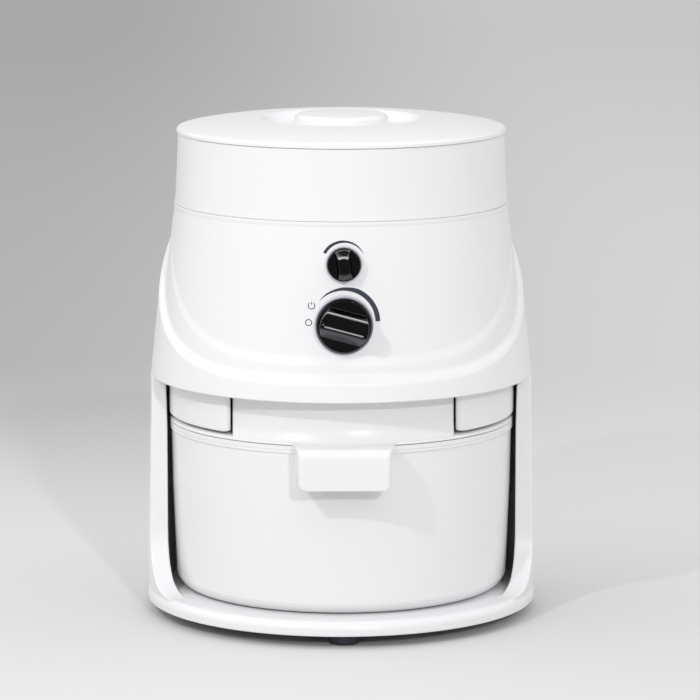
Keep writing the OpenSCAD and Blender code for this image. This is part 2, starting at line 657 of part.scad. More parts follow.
module motor_mounts() {
  color("black") for (a = [45:90:315]) rotate([0, 0, a]) translate([54, 0, mz]) difference() {
    cylinder(r = 6.5, h = 4);
    translate([0, 0, -1]) cylinder(r = 2, h = 10);
  }
}
module flour_chute() {
  color("whitesmoke") difference() {
    union() {
      translate([-14, 60, ch + 3]) cube([28, 28, 16]);
      translate([0, 88, rim_z - 0.4]) cylinder(r = 14, h = ch + 19.4 - rim_z);
    }
    translate([0, 0, 150]) cylinder(r = 66.05, h = 300);
    translate([-12, 55, ch + 5]) cube([24, 33, 12]);
    translate([0, 88, 100]) cylinder(r = 12, h = ch + 17 - 100);
  }
}
module chute_seal() {
  color("dimgray") translate([0, 88, rim_z - 2.1]) difference() {
    cylinder(r = 19, h = 2.1);
    translate([0, 0, -1]) cylinder(r = 14.05, h = 5);
  }
}

// ---------- flour bowl ----------
bz = tray_z + 0.3;
bt = tray_z + 130;           // top of the bowl's rim
module flour_bowl() {
  h = handle_half;
  color("white") difference() {
    union() {
      spin(concat([[0, bz], [116, bz]], arc(116, bz + 12.5, 12.5, -82, -8, 5), [[131, bz + 82], [131.8, bt - 6.2],
        [bowl_rim_r, bt - 5.6], [bowl_rim_r, bt - 4], [bowl_rim_r - 0.5, bt - 3.6], [bowl_rim_r, bt - 3.2], [bowl_rim_r, bt], [0, bt]]));
      difference() {
        translate([0, -126, 0]) rotate([90, 0, 0]) linear_extrude(handle_reach - 126)
          polygon([[-h - 4, bt], [-h - 0.3, bt - 4], [-h, bt - 26], [-h + 5, bt - 29], [h - 5, bt - 29], [h, bt - 26], [h + 0.3, bt - 4], [h + 4, bt]]);
        translate([-h + 4, -handle_reach + 4.2, bt - 40]) cube([2 * h - 8, 19, 35.5]);
      }
    }
    spin(concat([[0, bz + bowl_wall], [115, bz + bowl_wall]], arc(115.4, bz + 12.5, 12.5 - bowl_wall, -82, -8, 5),
      [[131 - bowl_wall, bz + 82], [129.4, bt - 6], [129.4, bt + 5], [0, bt + 5]]));
  }
}
module bowl_lid() {
  color("white") difference() {
    union() {
      spin([[0, bt + 0.5], [bowl_rim_r + 0.1, bt + 0.5], [bowl_rim_r + 0.1, bt + 2], [131.5, bt + 3.2], [0, bt + 3.6]]);
      spin([[120, bt - 9], [127.9, bt - 9], [127.9, bt], [132, bt], [132, bt + 1], [120, bt + 1]]);
      intersection() {
        spin([[0, bt + 0.5], [bowl_rim_r + 0.1, bt + 0.5], [bowl_rim_r + 0.1, bt + 2], [130.6, bt + 4.6], [128.6, bt + 8], [127.2, bt + 13], [126.4, bt + 33], [0, bt + 33]]);
        translate([-84, -140, bt]) cube([168, 258, 60]);
      }
    }
    intersection() {
      translate([0, 0, bt - 20]) cylinder(r = 123.4, h = 50);
      translate([-81, -140, bt - 20]) cube([162, 255, 50]);
    }
    difference() {
      translate([0, 0, bt - 20]) cylinder(r = 124.9, h = 20);
      translate([0, 0, bt - 30]) cylinder(r = 1, h = 1);
    }
    translate([0, 88, 0]) cylinder(r = 13, h = 400);
    cylinder(r = 32.9, h = 400);
  }
  color("white") translate([0, 0, bt + 18]) difference() {
    cylinder(r = 36, h = 15);
    translate([0, 0, 2.5]) cylinder(r = 32.9, h = 30);
    translate([0, 0, -1]) cylinder(r = 28, h = 30);
  }
  color("white") translate([0, 88, bt + 16]) difference() {
    cylinder(r = 16, h = 15);
    translate([0, 0, -1]) cylinder(r = 13, h = 30);
  }
}
module lid_gasket() {
  color("silver") spin([[127.9, bt - 6.5], [129.2, bt - 6.5], [129.35, bt - 5], [129.2, bt - 3.5], [127.9, bt - 3.5]]);
}
module separator_cup() {
  color("gainsboro") translate([0, 88, bt - 30]) difference() {
    union() { cylinder(r = 18.4, h = 59.8); translate([0, 0, 10]) cylinder(r = 22, h = 2); }
    translate([0, 0, -1]) cylinder(r = 16.1, h = 70);
    for (a = [0, 90]) rotate([0, 0, a]) translate([-30, -5, -1]) cube([60, 10, 9]);
  }
}
module filter_foam() { color("darkgray") translate([0, 0, bt + 20.5]) cylinder(r = 32.7, h = 8.5); }
module filter_cap() {
  color("lightgray") translate([0, 0, bt + 29]) difference() {
    cylinder(r = 32.6, h = 3.6);
    for (i = [-3:3]) translate([-sqrt(29 * 29 - 64 * i * i), i * 8 - 1.8, -1]) cube([2 * sqrt(29 * 29 - 64 * i * i), 3.6, 10]);
  }
}

base_frame();
bottom_plate();
rubber_feet();
foot_screws();
upper_housing();
housing_floor();
left_rail();
right_rail();
housing_screws();
rear_grille();
cord_gland();
gland_nut();
hopper_funnel();
hopper_ring();
hopper_lid();
feed_gate();
feed_bezel();
feed_knob();
feed_shaft();
feed_pinion();
power_switch();
speed_collar();
speed_knob();
speed_shaft();
speed_pot();
control_bracket();
circuit_board();
heat_sink();
chamber_base();
chamber_gasket();
stator_head();
chamber_cover();
chamber_screws();
rotor_head();
rotor_nut();
motor_shaft();
armature_core();
armature_windings();
commutator();
cooling_fan();
field_core();
field_windings();
upper_bearing();
lower_bearing();
motor_end_frame();
brush_holders();
carbon_brushes();
brush_springs();
motor_shroud();
motor_mounts();
flour_chute();
chute_seal();
flour_bowl();
bowl_lid();
lid_gasket();
separator_cup();
filter_foam();
filter_cap();
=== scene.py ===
import bmesh
import bpy
import json
import math
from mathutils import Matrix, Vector


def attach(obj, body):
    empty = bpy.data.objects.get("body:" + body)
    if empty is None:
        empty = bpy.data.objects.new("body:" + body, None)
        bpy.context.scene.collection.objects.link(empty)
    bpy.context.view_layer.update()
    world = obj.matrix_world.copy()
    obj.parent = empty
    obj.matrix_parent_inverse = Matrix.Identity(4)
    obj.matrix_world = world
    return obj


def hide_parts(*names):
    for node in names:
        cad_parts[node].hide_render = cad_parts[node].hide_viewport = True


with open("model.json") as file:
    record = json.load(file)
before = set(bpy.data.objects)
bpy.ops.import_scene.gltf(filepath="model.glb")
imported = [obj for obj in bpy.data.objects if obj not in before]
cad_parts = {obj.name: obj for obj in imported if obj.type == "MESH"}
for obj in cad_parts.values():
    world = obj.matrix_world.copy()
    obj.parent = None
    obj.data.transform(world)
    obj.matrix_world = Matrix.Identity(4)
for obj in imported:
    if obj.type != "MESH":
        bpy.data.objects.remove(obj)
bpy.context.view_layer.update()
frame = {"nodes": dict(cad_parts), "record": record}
MM = 0.001
PI = math.pi

SLOT_OF = {}
for _s in frame["record"]["subparts"]:
    SLOT_OF[_s["node"]] = _s["material_slot"]


# ---------------------------------------------------------------- materials
def plastic(name, rgb, rough, metal=0.0, ior=1.47, coat=0.0, var=0.012, rvar=0.025,
            grain=0.05, grain_scale=1500.0, wear=0.0, stretch=None, sub=0.0, spec=0.5, painted_floor_reflection=None, painted_side_light=None, glint=None):
    m = bpy.data.materials.new(name)
    m.use_nodes = True
    t = m.node_tree
    t.nodes.clear()
    out = t.nodes.new("ShaderNodeOutputMaterial")
    b = t.nodes.new("ShaderNodeBsdfPrincipled")
    t.links.new(b.outputs["BSDF"], out.inputs["Surface"])
    b.inputs["Metallic"].default_value = metal
    b.inputs["IOR"].default_value = ior
    b.inputs["Specular IOR Level"].default_value = spec
    b.inputs["Coat Weight"].default_value = coat
    b.inputs["Coat Roughness"].default_value = 0.08
    b.inputs["Subsurface Weight"].default_value = sub
    b.inputs["Subsurface Scale"].default_value = 0.002
    co = t.nodes.new("ShaderNodeTexCoord")
    src = co.outputs["Object"]
    if stretch:
        mp = t.nodes.new("ShaderNodeMapping")
        mp.inputs["Scale"].default_value = stretch
        t.links.new(src, mp.inputs["Vector"])
        fine_src = mp.outputs["Vector"]
    else:
        fine_src = src
    broad = t.nodes.new("ShaderNodeTexNoise")
    broad.inputs["Scale"].default_value = 11.0
    broad.inputs["Detail"].default_value = 4.0
    t.links.new(src, broad.inputs["Vector"])
    tone = t.nodes.new("ShaderNodeMix")
    tone.data_type = "RGBA"
    lo = [c * (1.0 - var) for c in rgb]
    hi = [min(1.0, c * (1.0 + var)) for c in rgb]
    tone.inputs["A"].default_value = (*lo, 1.0)
    tone.inputs["B"].default_value = (*hi, 1.0)
    t.links.new(broad.outputs["Fac"], tone.inputs["Factor"])
    colour = tone.outputs["Result"]
    if wear > 0.0:
        geo = t.nodes.new("ShaderNodeNewGeometry")
        edge = t.nodes.new("ShaderNodeMapRange")
        edge.inputs["From Min"].default_value = 0.52
        edge.inputs["From Max"].default_value = 0.60
        edge.inputs["To Max"].default_value = wear
        t.links.new(geo.outputs["Pointiness"], edge.inputs["Value"])
        rub = t.nodes.new("ShaderNodeTexNoise")
        rub.inputs["Scale"].default_value = 160.0
        t.links.new(src, rub.inputs["Vector"])
        both = t.nodes.new("ShaderNodeMath")
        both.operation = "MULTIPLY"
        t.links.new(edge.outputs["Result"], both.inputs[0])
        t.links.new(rub.outputs["Fac"], both.inputs[1])
        worn = t.nodes.new("ShaderNodeMix")
        worn.data_type = "RGBA"
        worn.inputs["B"].default_value = (*[min(1.0, c + 0.12) for c in rgb], 1.0)
        t.links.new(both.outputs["Value"], worn.inputs["Factor"])
        t.links.new(colour, worn.inputs["A"])
        colour = worn.outputs["Result"]
    # Painted light: faces that do not face the front are mixed towards a lighter colour, covering their shade.
    # Painted reflection: faces pointing down are mixed towards a lighter colour that stands in for the floor's
    # reflection.
    for axis, wanted, a0, a1 in (("Z", painted_floor_reflection, -0.3, -0.7), ("Y", painted_side_light, -0.85, -0.6)):
        if wanted is None:
            continue
        geo = t.nodes.new("ShaderNodeNewGeometry")
        part = t.nodes.new("ShaderNodeSeparateXYZ")
        t.links.new(geo.outputs["Normal"], part.inputs["Vector"])
        facing = t.nodes.new("ShaderNodeMapRange")
        facing.inputs["From Min"].default_value = a0
        facing.inputs["From Max"].default_value = a1
        t.links.new(part.outputs[axis], facing.inputs["Value"])
        two = t.nodes.new("ShaderNodeMix")
        two.data_type = "RGBA"
        two.inputs["B"].default_value = (*wanted, 1.0)
        t.links.new(facing.outputs["Result"], two.inputs["Factor"])
        t.links.new(colour, two.inputs["A"])
        colour = two.outputs["Result"]
    if glint:
        middle, half, wanted = glint
        geo = t.nodes.new("ShaderNodeNewGeometry")
        part = t.nodes.new("ShaderNodeSeparateXYZ")
        t.links.new(geo.outputs["Normal"], part.inputs["Vector"])
        off = t.nodes.new("ShaderNodeMath")
        off.operation = "SUBTRACT"
        off.inputs[1].default_value = middle
        t.links.new(part.outputs["Z"], off.inputs[0])
        far = t.nodes.new("ShaderNodeMath")
        far.operation = "ABSOLUTE"
        t.links.new(off.outputs["Value"], far.inputs[0])
        near = t.nodes.new("ShaderNodeMapRange")
        near.inputs["From Min"].default_value = half
        near.inputs["From Max"].default_value = half * 0.25
        t.links.new(far.outputs["Value"], near.inputs["Value"])
        fwd = t.nodes.new("ShaderNodeMapRange")
        fwd.inputs["From Min"].default_value = -0.45
        fwd.inputs["From Max"].default_value = -0.65
        t.links.new(part.outputs["Y"], fwd.inputs["Value"])
        both = t.nodes.new("ShaderNodeMath")
        both.operation = "MULTIPLY"
        t.links.new(near.outputs["Result"], both.inputs[0])
        t.links.new(fwd.outputs["Result"], both.inputs[1])
        two = t.nodes.new("ShaderNodeMix")
        two.data_type = "RGBA"
        two.inputs["B"].default_value = (*wanted, 1.0)
        t.links.new(both.outputs["Value"], two.inputs["Factor"])
        t.links.new(colour, two.inputs["A"])
        colour = two.outputs["Result"]
    t.links.new(colour, b.inputs["Base Color"])
    patch = t.nodes.new("ShaderNodeTexNoise")
    patch.inputs["Scale"].default_value = 24.0
    patch.inputs["Detail"].default_value = 3.0
    patch.inputs["Roughness"].default_value = 0.5
    t.links.new(src, patch.inputs["Vector"])
    rr = t.nodes.new("ShaderNodeMapRange")
    rr.inputs["From Min"].default_value = 0.3
    rr.inputs["From Max"].default_value = 0.7
    rr.inputs["To Min"].default_value = max(0.02, rough - rvar)
    rr.inputs["To Max"].default_value = min(1.0, rough + rvar)
    t.links.new(patch.outputs["Fac"], rr.inputs["Value"])
    t.links.new(rr.outputs["Result"], b.inputs["Roughness"])
    fine = t.nodes.new("ShaderNodeTexNoise")
    fine.inputs["Scale"].default_value = grain_scale
    fine.inputs["Detail"].default_value = 3.0
    t.links.new(fine_src, fine.inputs["Vector"])
    bump = t.nodes.new("ShaderNodeBump")
    bump.inputs["Strength"].default_value = grain
    bump.inputs["Distance"].default_value = 0.0001
    t.links.new(fine.outputs["Fac"], bump.inputs["Height"])
    t.links.new(bump.outputs["Normal"], b.inputs["Normal"])
    return m


W = (0.80, 0.80, 0.812)
LOOKS = {
    "frame_white": dict(rgb=W, rough=0.32, grain=0.015, wear=0.02),
    "housing_white": dict(rgb=W, rough=0.40, grain=0.012, wear=0.02),
    "ring_white": dict(rgb=W, rough=0.36, grain=0.012, wear=0.02),
    "lid_white": dict(rgb=(0.82, 0.82, 0.83), rough=0.34, grain=0.0, wear=0.0, rvar=0.02),
    "rail_white": dict(rgb=W, rough=0.34, grain=0.02),
    "grille_white": dict(rgb=W, rough=0.34, grain=0.02),
    "bowl_white": dict(rgb=(0.79, 0.79, 0.80), rough=0.30, grain=0.015, wear=0.02),
    "bowl_lid_white": dict(rgb=(0.79, 0.79, 0.80), rough=0.32, grain=0.02),
    "inner_white": dict(rgb=(0.72, 0.72, 0.70), rough=0.42, grain=0.12, var=0.05),
    "base_grey": dict(rgb=(0.30, 0.30, 0.31), rough=0.45, grain=0.15, var=0.06),
    "foot_rubber": dict(rgb=(0.030, 0.033, 0.045), rough=0.62, grain=0.35, grain_scale=900, var=0.12),
    "gland_grey": dict(rgb=(0.10, 0.10, 0.11), rough=0.45, grain=0.2, var=0.08),
    # Bezel grey: its sides are painted lighter than its front face, painted light over their shade.
    "bezel_grey": dict(rgb=(0.17, 0.165, 0.20), rough=0.30, grain=0.06, var=0.06, painted_side_light=(0.55, 0.54, 0.60)),
    "collar_grey": dict(rgb=(0.60, 0.60, 0.66), rough=0.30, grain=0.05),
    # Knob black: faces pointing down are lightened as a painted reflection of the floor; the glint band is a painted
    # highlight.
    "knob_black": dict(rgb=(0.002, 0.002, 0.0024), rough=0.12, grain=0.02, rvar=0.03, var=0.15, spec=0.10, painted_floor_reflection=(0.075, 0.075, 0.082), glint=(0.55, 0.26, (0.42, 0.42, 0.43))),
    "acetal": dict(rgb=(0.78, 0.77, 0.72), rough=0.4, grain=0.08, sub=0.05, var=0.04),
    "black_plastic": dict(rgb=(0.018, 0.018, 0.02), rough=0.45, grain=0.25, var=0.1),
    "pcb_green": dict(rgb=(0.018, 0.12, 0.045), rough=0.38, grain=0.1, var=0.15, coat=0.3),
    "seal_black": dict(rgb=(0.02, 0.02, 0.022), rough=0.6, grain=0.3, var=0.12),
    "seal_grey": dict(rgb=(0.36, 0.36, 0.38), rough=0.55, grain=0.2, var=0.06),
    "foam_grey": dict(rgb=(0.16, 0.16, 0.17), rough=0.92, grain=1.0, grain_scale=700, var=0.25),
    "filter_cap_grey": dict(rgb=(0.55, 0.55, 0.57), rough=0.4, grain=0.1),
    "screw_steel": dict(rgb=(0.55, 0.55, 0.57), rough=0.28, metal=1.0, grain=0.2, var=0.08),
    "shaft_steel": dict(rgb=(0.6, 0.6, 0.62), rough=0.24, metal=1.0, grain=0.25, stretch=(1, 1, 30), var=0.06),
    "bearing_steel": dict(rgb=(0.62, 0.62, 0.64), rough=0.2, metal=1.0, grain=0.1, var=0.06),
    "milling_steel": dict(rgb=(0.63, 0.63, 0.64), rough=0.3, metal=1.0, grain=0.3, var=0.08),
    "lamination": dict(rgb=(0.30, 0.30, 0.32), rough=0.5, metal=0.9, grain=0.8, stretch=(0.2, 0.2, 4), var=0.15),
    "spring_steel": dict(rgb=(0.5, 0.5, 0.52), rough=0.3, metal=1.0, grain=0.2, var=0.08),
    "zinc_sheet": dict(rgb=(0.58, 0.60, 0.62), rough=0.38, metal=1.0, grain=0.25, var=0.16),
    "cast_aluminium": dict(rgb=(0.62, 0.62, 0.63), rough=0.48, metal=1.0, grain=0.6, grain_scale=1100, var=0.1),
    "copper": dict(rgb=(0.55, 0.20, 0.10), rough=0.34, metal=1.0, grain=0.5, var=0.15),
    "brass": dict(rgb=(0.62, 0.45, 0.18), rough=0.3, metal=1.0, grain=0.2, var=0.1),
    "carbon": dict(rgb=(0.03, 0.03, 0.03), rough=0.6, grain=0.4, var=0.15),
}
MATS = {k: plastic(k, **v) for k, v in LOOKS.items()}
INK = plastic("ink", rgb=(0.020, 0.025, 0.042), rough=0.5, grain=0.2, var=0.12)
FALLBACK = plastic("part_grey", rgb=(0.5, 0.5, 0.5), rough=0.45, grain=0.1)


def look(slot):
    return MATS.get(slot, FALLBACK)


for _n, _o in frame["nodes"].items():
    _o.data.materials.clear()
    _o.data.materials.append(look(SLOT_OF.get(_n)))


# ---------------------------------------------------------------- mesh tools
def make(name, verts, faces):
    me = bpy.data.meshes.new(name)
    me.from_pydata([(x * MM, y * MM, z * MM) for x, y, z in verts], [], faces)
    bm = bmesh.new()
    bm.from_mesh(me)
    bmesh.ops.remove_doubles(bm, verts=bm.verts, dist=2e-6)
    bmesh.ops.recalc_face_normals(bm, faces=bm.faces)
    bm.to_mesh(me)
    bm.free()
    ob = bpy.data.objects.new(name, me)
    bpy.context.scene.collection.objects.link(ob)
    return ob


def cut(a, b, how="DIFFERENCE"):
    mod = a.modifiers.new("cut", "BOOLEAN")
    mod.operation = how
    mod.solver = "EXACT"
    mod.object = b
    deps = bpy.context.evaluated_depsgraph_get()
    deps.update()
    me = bpy.data.meshes.new_from_object(a.evaluated_get(deps))
    a.modifiers.clear()
    old = a.data
    a.data = me
    bpy.data.meshes.remove(old)
    dead = b.data
    bpy.data.objects.remove(b, do_unlink=True)
    bpy.data.meshes.remove(dead)
    return a


def finish(ob, body, *nodes, mat=None, angle=38.0):
    me = ob.data
    slot = SLOT_OF.get(nodes[0]) if nodes else None
    me.materials.clear()
    me.materials.append(mat or look(slot))
    for p in me.polygons:
        p.material_index = 0
        p.use_smooth = True
    me.set_sharp_from_angle(angle=math.radians(angle))
    w = ob.modifiers.new("weighted", "WEIGHTED_NORMAL")
    w.keep_sharp = True
    w.weight = 60
    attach(ob, body)
    if nodes:
        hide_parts(*nodes)
    return ob


def fillet(pts, seg=6, closed=True):
    out = []
    n = len(pts)
    for i, p in enumerate(pts):
        rad = p[2] if len(p) > 2 else 0.0
        if rad <= 0.0 or (not closed and i in (0, n - 1)):
            out.append((p[0], p[1]))
            continue
        a = Vector(pts[i - 1][:2])
        b = Vector(p[:2])
        c = Vector(pts[(i + 1) % n][:2])
        u, v = a - b, c - b
        lu, lv = u.length, v.length
        u.normalize()
        v.normalize()
        ang = u.angle(v)
        if ang > math.radians(178):
            out.append((p[0], p[1]))
            continue
        t = min(rad / math.tan(ang / 2), lu * 0.48, lv * 0.48)
        r = t * math.tan(ang / 2)
        cen = b + (u + v).normalized() * (r / math.sin(ang / 2))
        p0, p1 = b + u * t, b + v * t
        a0 = math.atan2(p0.y - cen.y, p0.x - cen.x)
        a1 = math.atan2(p1.y - cen.y, p1.x - cen.x)
        d = (a1 - a0 + PI) % (2 * PI) - PI
        k = max(2, int(abs(d) / (PI / 2) * seg) + 1)
        for j in range(k + 1):
            q = a0 + d * j / k
            out.append((cen.x + r * math.cos(q), cen.y + r * math.sin(q)))
    return out


def split_long(pts, longest, closed=True):
    out = []
    n = len(pts)
    last = n if closed else n - 1
    for i in range(last):
        a, b = pts[i], pts[(i + 1) % n]
        k = max(1, int(math.dist(a, b) / longest + 0.5))
        for j in range(k):
            out.append((a[0] + (b[0] - a[0]) * j / k, a[1] + (b[1] - a[1]) * j / k))
    if not closed:
        out.append(pts[-1])
    return out


def lathe(name, prof, n=192, axis="z", at=(0.0, 0.0)):
    verts, rings, faces = [], [], []
    for r, h in prof:
        k = len(verts)
        if r < 1e-6:
            verts.append((0.0, 0.0, h))
            rings.append([k])
        else:
            for i in range(n):
                a = 2 * PI * (i + 0.5) / n
                verts.append((r * math.cos(a), r * math.sin(a), h))
            rings.append(list(range(k, k + n)))
    m = len(rings)
    closed = len(rings[0]) > 1 and len(rings[-1]) > 1
    for i in range(m if closed else m - 1):
        p, q = rings[i], rings[(i + 1) % m]
        if len(p) == 1 and len(q) == 1:
            continue
        for j in range(n):
            k = (j + 1) % n
            if len(p) == 1:
                faces.append((p[0], q[j], q[k]))
            elif len(q) == 1:
                faces.append((p[j], q[0], p[k]))
            else:
                faces.append((p[j], q[j], q[k], p[k]))
    if axis == "z":
        verts = [(x + at[0], y + at[1], z) for x, y, z in verts]
    else:
        verts = [(x + at[0], z, y + at[1]) for x, y, z in verts]
    return make(name, verts, faces)


def loft(name, rings, caps=True, wrap=False):
    """rings: lists of 3-D points, all of one length; wrap joins the last ring to the first."""
    n = len(rings[0])
    verts = [p for ring in rings for p in ring]
    faces = []
    m = len(rings)
    for i in range(m if wrap else m - 1):
        a, b = i * n, ((i + 1) % m) * n
        for j in range(n):
            k = (j + 1) % n
            faces.append((a + j, b + j, b + k, a + k))
    if caps and not wrap:
        faces.append(tuple(range(n)))
        faces.append(tuple(range((m - 1) * n, m * n)))
    return make(name, verts, faces)


def smooth(t):
    t = max(0.0, min(1.0, t))
    return t * t * (3 - 2 * t)


def softmin(a, b, k):
    lo = min(a, b)
    return lo - k * math.log(math.exp(-(a - lo) / k) + math.exp(-(b - lo) / k))


def curve(table):
    xs = [p[0] for p in table]
    ys = [p[1] for p in table]
    n = len(xs)
    ms = []
    for i in range(n):
        if i == 0:
            ms.append((ys[1] - ys[0]) / (xs[1] - xs[0]))
        elif i == n - 1:
            ms.append((ys[-1] - ys[-2]) / (xs[-1] - xs[-2]))
        else:
            d0 = (ys[i] - ys[i - 1]) / (xs[i] - xs[i - 1])
            d1 = (ys[i + 1] - ys[i]) / (xs[i + 1] - xs[i])
            ms.append(0.0 if d0 * d1 <= 0 else 2 * d0 * d1 / (d0 + d1))

    def at(x):
        if x <= xs[0]:
            return ys[0] + ms[0] * (x - xs[0])
        if x >= xs[-1]:
            return ys[-1] + ms[-1] * (x - xs[-1])
        i = max(j for j in range(n - 1) if xs[j] <= x)
        h = xs[i + 1] - xs[i]
        t = (x - xs[i]) / h
        a = 2 * t ** 3 - 3 * t ** 2 + 1
        b = t ** 3 - 2 * t ** 2 + t
        c = -2 * t ** 3 + 3 * t ** 2
        d = t ** 3 - t ** 2
        return a * ys[i] + b * h * ms[i] + c * ys[i + 1] + d * h * ms[i + 1]

    return at


FEED_Z = 242.9
SPEED_Z = 287.8


# ---------------------------------------------------------------- upper housing
def core_r(z):
    return 128.2 + 0.105 * (316 - z)


def tier_r(z):
    return 128.4 + 0.119 * (316 - z)


outer_r = curve([(185.5, 147.2), (213, 144.5), (238, 141.9), (266, 139.2), (290, 135.6), (304, 131.5)])


def sweeps(th):
    c = math.cos(th)
    zh, zl = 216.0, 202.5
    for _ in range(8):
        y = -tier_r(zh) * c
        zh = softmin(310.0, 216.0 + 0.0048 * max(0.0, y + 140) ** 2, 1.6)
        y = -outer_r(min(zl, 304.0)) * c
        zl = softmin(304.3, 202.5 + 0.00295 * max(0.0, y + 140) ** 2, 1.2)
    half = min(4.6, (zh - zl) / 2 - 0.3)
    return zh, zl, half


def step(t):
    t = max(-1.0, min(1.0, t)) * 0.5 + 0.5
    return t * t * (3 - 2 * t)


def housing_r(z, zh, zl, half):
    a, b, c = core_r(z), tier_r(z), outer_r(min(z, 306.0))
    return a + (b - a) * step((zh - z) / half) + (c - b) * step((zl - z) / half)


def build_housing():
    n = 320
    rings = []
    for i in range(n):
        th = 2 * PI * i / n
        zh, zl, half = sweeps(th)
        rows = []
        r0 = housing_r(186.4, zh, zl, half)
        for a in (90, 60, 30):
            q = math.radians(a)
            rows.append((r0 - 0.9 * (1 - math.cos(q)), 186.4 - 0.9 * math.sin(q)))

        def span(z0, z1, k, last=False):
            for j in range(k + (1 if last else 0)):
                z = z0 + (z1 - z0) * j / k
                rows.append((housing_r(z, zh, zl, half), z))

        span(186.4, zl - half, 7)
        span(zl - half, zl + half, 14)
        span(zl + half, zh - half, 5)
        span(zh - half, zh + half, 14)
        span(zh + half, 314.6, 7, True)
        rows += [(128.28, 315.0), (128.5, 315.5), (128.62, 316.4), (128.62, 317.9), (128.5, 318.3), (128.25, 318.5)]
        rows += [(124.2, 318.5), (123.7, 318.0), (123.7, 312.4), (123.3, 312.0), (118.4, 312.0), (118.0, 311.6), (118.0, 309.0), (118.4, 308.5)]
        for j in range(25):
            z = 308.5 - (308.5 - 188.5) * j / 24
            rows.append((housing_r(z, zh, zl, half) - 3.5, z))
        rows += [(138.2, 188.5), (138.2, 185.5)]
        s, c = math.sin(th), math.cos(th)
        rings.append([(r * s, -r * c, z) for r, z in rows])
    ob = loft("upper_housing_shell", rings, wrap=True)

    def drill(r, x, z, y0, y1, n=64):
        d = lathe("drill", [(0, y0), (r, y0), (r, y1), (0, y1)], n=n, axis="y", at=(x, z))
        cut(ob, d)

    drill(18.0, 0, FEED_Z, -150, -120, 96)
    drill(8.2, 0, SPEED_Z, -150, -115)
    drill(7.6, 0, 205, 120, 160)
    box = fillet([(-40, 222, 3), (40, 222, 3), (40, 262, 3), (-40, 262, 3)], 6)
    cut(ob, loft("drill", [[(x, y, z) for x, z in box] for y in (115, 160)]))
    return finish(ob, "mill_body", "upper_housing")


build_housing()


# ---------------------------------------------------------------- base frame
def frame_loop(z, ro, xe, ri, yc, inset=0.0, f=1.2, g=1.6):
    """One closed C-shaped outline of the wrap-round wall at height z, with its ends at y = -yc."""
    ro, xe, ri, yc = ro - inset, xe + inset, ri + inset, yc - inset
    jy = math.sqrt(max(1.0, ri * ri - xe * xe))
    if jy > yc - f - 0.5:
        jy = yc - f - 0.5
        xe = math.sqrt(ri * ri - jy * jy)
    in_a = math.atan2(-jy, xe)
    cx = math.sqrt((ro - g) ** 2 - (yc - g) ** 2)
    cy = -yc + g
    out_a = math.atan2(cy, cx)
    right = [(xe, -jy), (xe, -(jy + yc - f) / 2)]
    for j in range(7):
        a = PI + (PI / 2) * j / 6
        right.append((xe + f + f * math.cos(a), -yc + f + f * math.sin(a)))
    for j in (1, 2, 3):
        right.append((xe + f + (cx - xe - f) * j / 4, -yc))
    for j in range(8):
        a = -PI / 2 + (out_a + PI / 2) * j / 7
        right.append((cx + g * math.cos(a), cy + g * math.sin(a)))
    pts = list(right)
    k = 220
    for j in range(1, k):
        a = out_a + (PI - 2 * out_a) * j / k
        pts.append((ro * math.cos(a), ro * math.sin(a)))
    pts += [(-x, y) for x, y in reversed(right)]
    k = 180
    for j in range(1, k):
        a = (PI - in_a) + (2 * in_a - PI) * j / k
        pts.append((ri * math.cos(a), ri * math.sin(a)))
    return [(x, y, z) for x, y in pts]


wall_out = curve([(16, 148.6), (18.5, 148.75), (23, 149.7), (30, 149.9), (45, 150.0), (61, 149.75), (80, 149.5), (99, 149.2), (118, 148.75), (137, 148.45), (150, 148.05), (165, 147.8), (180, 147.6), (185.5, 147.55)])


def build_frame():
    rings = []

    def side_x(z):
        if z <= 20.0:
            return 117.9
        if z < 36.0:
            return 117.9 + 0.85 * math.sqrt(256 - (36 - z) ** 2)
        return 131.5 + (135.45 - 131.5) * (z - 36) / 149.5

    for z in (15.0, 17.0, 18.5):
        rings.append(frame_loop(z, wall_out(z), 117.9, 136.0, 70.0))
    for a in (0, 3, 6, 9, 12, 15, 19, 23, 27, 32, 37, 42, 48, 54, 60, 66, 72, 78, 84, 90):
        q = math.radians(a)
        z = 68 - 48 * math.cos(q)
        rings.append(frame_loop(z, wall_out(z), side_x(z), 136.0, 70 - 48 * math.sin(q)))
    for z in (80, 99, 118, 137, 150, 165, 175, 184.5):
        rings.append(frame_loop(z, wall_out(z), side_x(z), 136.0, 22.0))
    for a in (25, 50, 70, 90):
        q = math.radians(a)
        rings.append(frame_loop(184.5 + math.sin(q), wall_out(184.5), side_x(184.5), 136.0, 22.0, 1.0 * (1 - math.cos(q)), 1.2 + 0.2, 1.4))
    wall = loft("base_frame_shell", rings)
    lip = [(144.4 + 6 * math.cos(math.radians(a)), 14.0 + 6 * math.sin(math.radians(a))) for a in range(-12, 91, 6)]
    prof = [(0, 11.6), (146.8, 11.6), (146.8, 9.4), (147.2, 9.0), (149.0, 9.0), (149.9, 9.5), (150.3, 10.6)] + lip + [(0, 20.0)]
    disc = lathe("disc", prof, n=320)
    cut(wall, disc, "UNION")
    return finish(wall, "mill_body", "base_frame", angle=34)


build_frame()


# ---------------------------------------------------------------- hopper ring and lid
def build_ring():
    prof = [(120.6, 314.9, 0.4), (123.2, 314.9, 0.4), (123.2, 318.62), (127.5, 318.62, 0.2), (128.0, 319.2, 0.5), (127.45, 325, 6), (126.75, 338, 20), (126.2, 350, 20), (125.4, 371.3, 1.5),
            (124.8, 372.5, 0.6), (122.4, 372.5, 0.4), (123, 350, 10), (123.6, 338, 10), (124, 326.5, 3), (123, 321.5, 1), (120.6, 319.5, 0.5)]
    ob = lathe("hopper_ring_shell", split_long(fillet(prof, 6), 6.0), n=288)
    finish(ob, "hopper_ring", "hopper_ring")


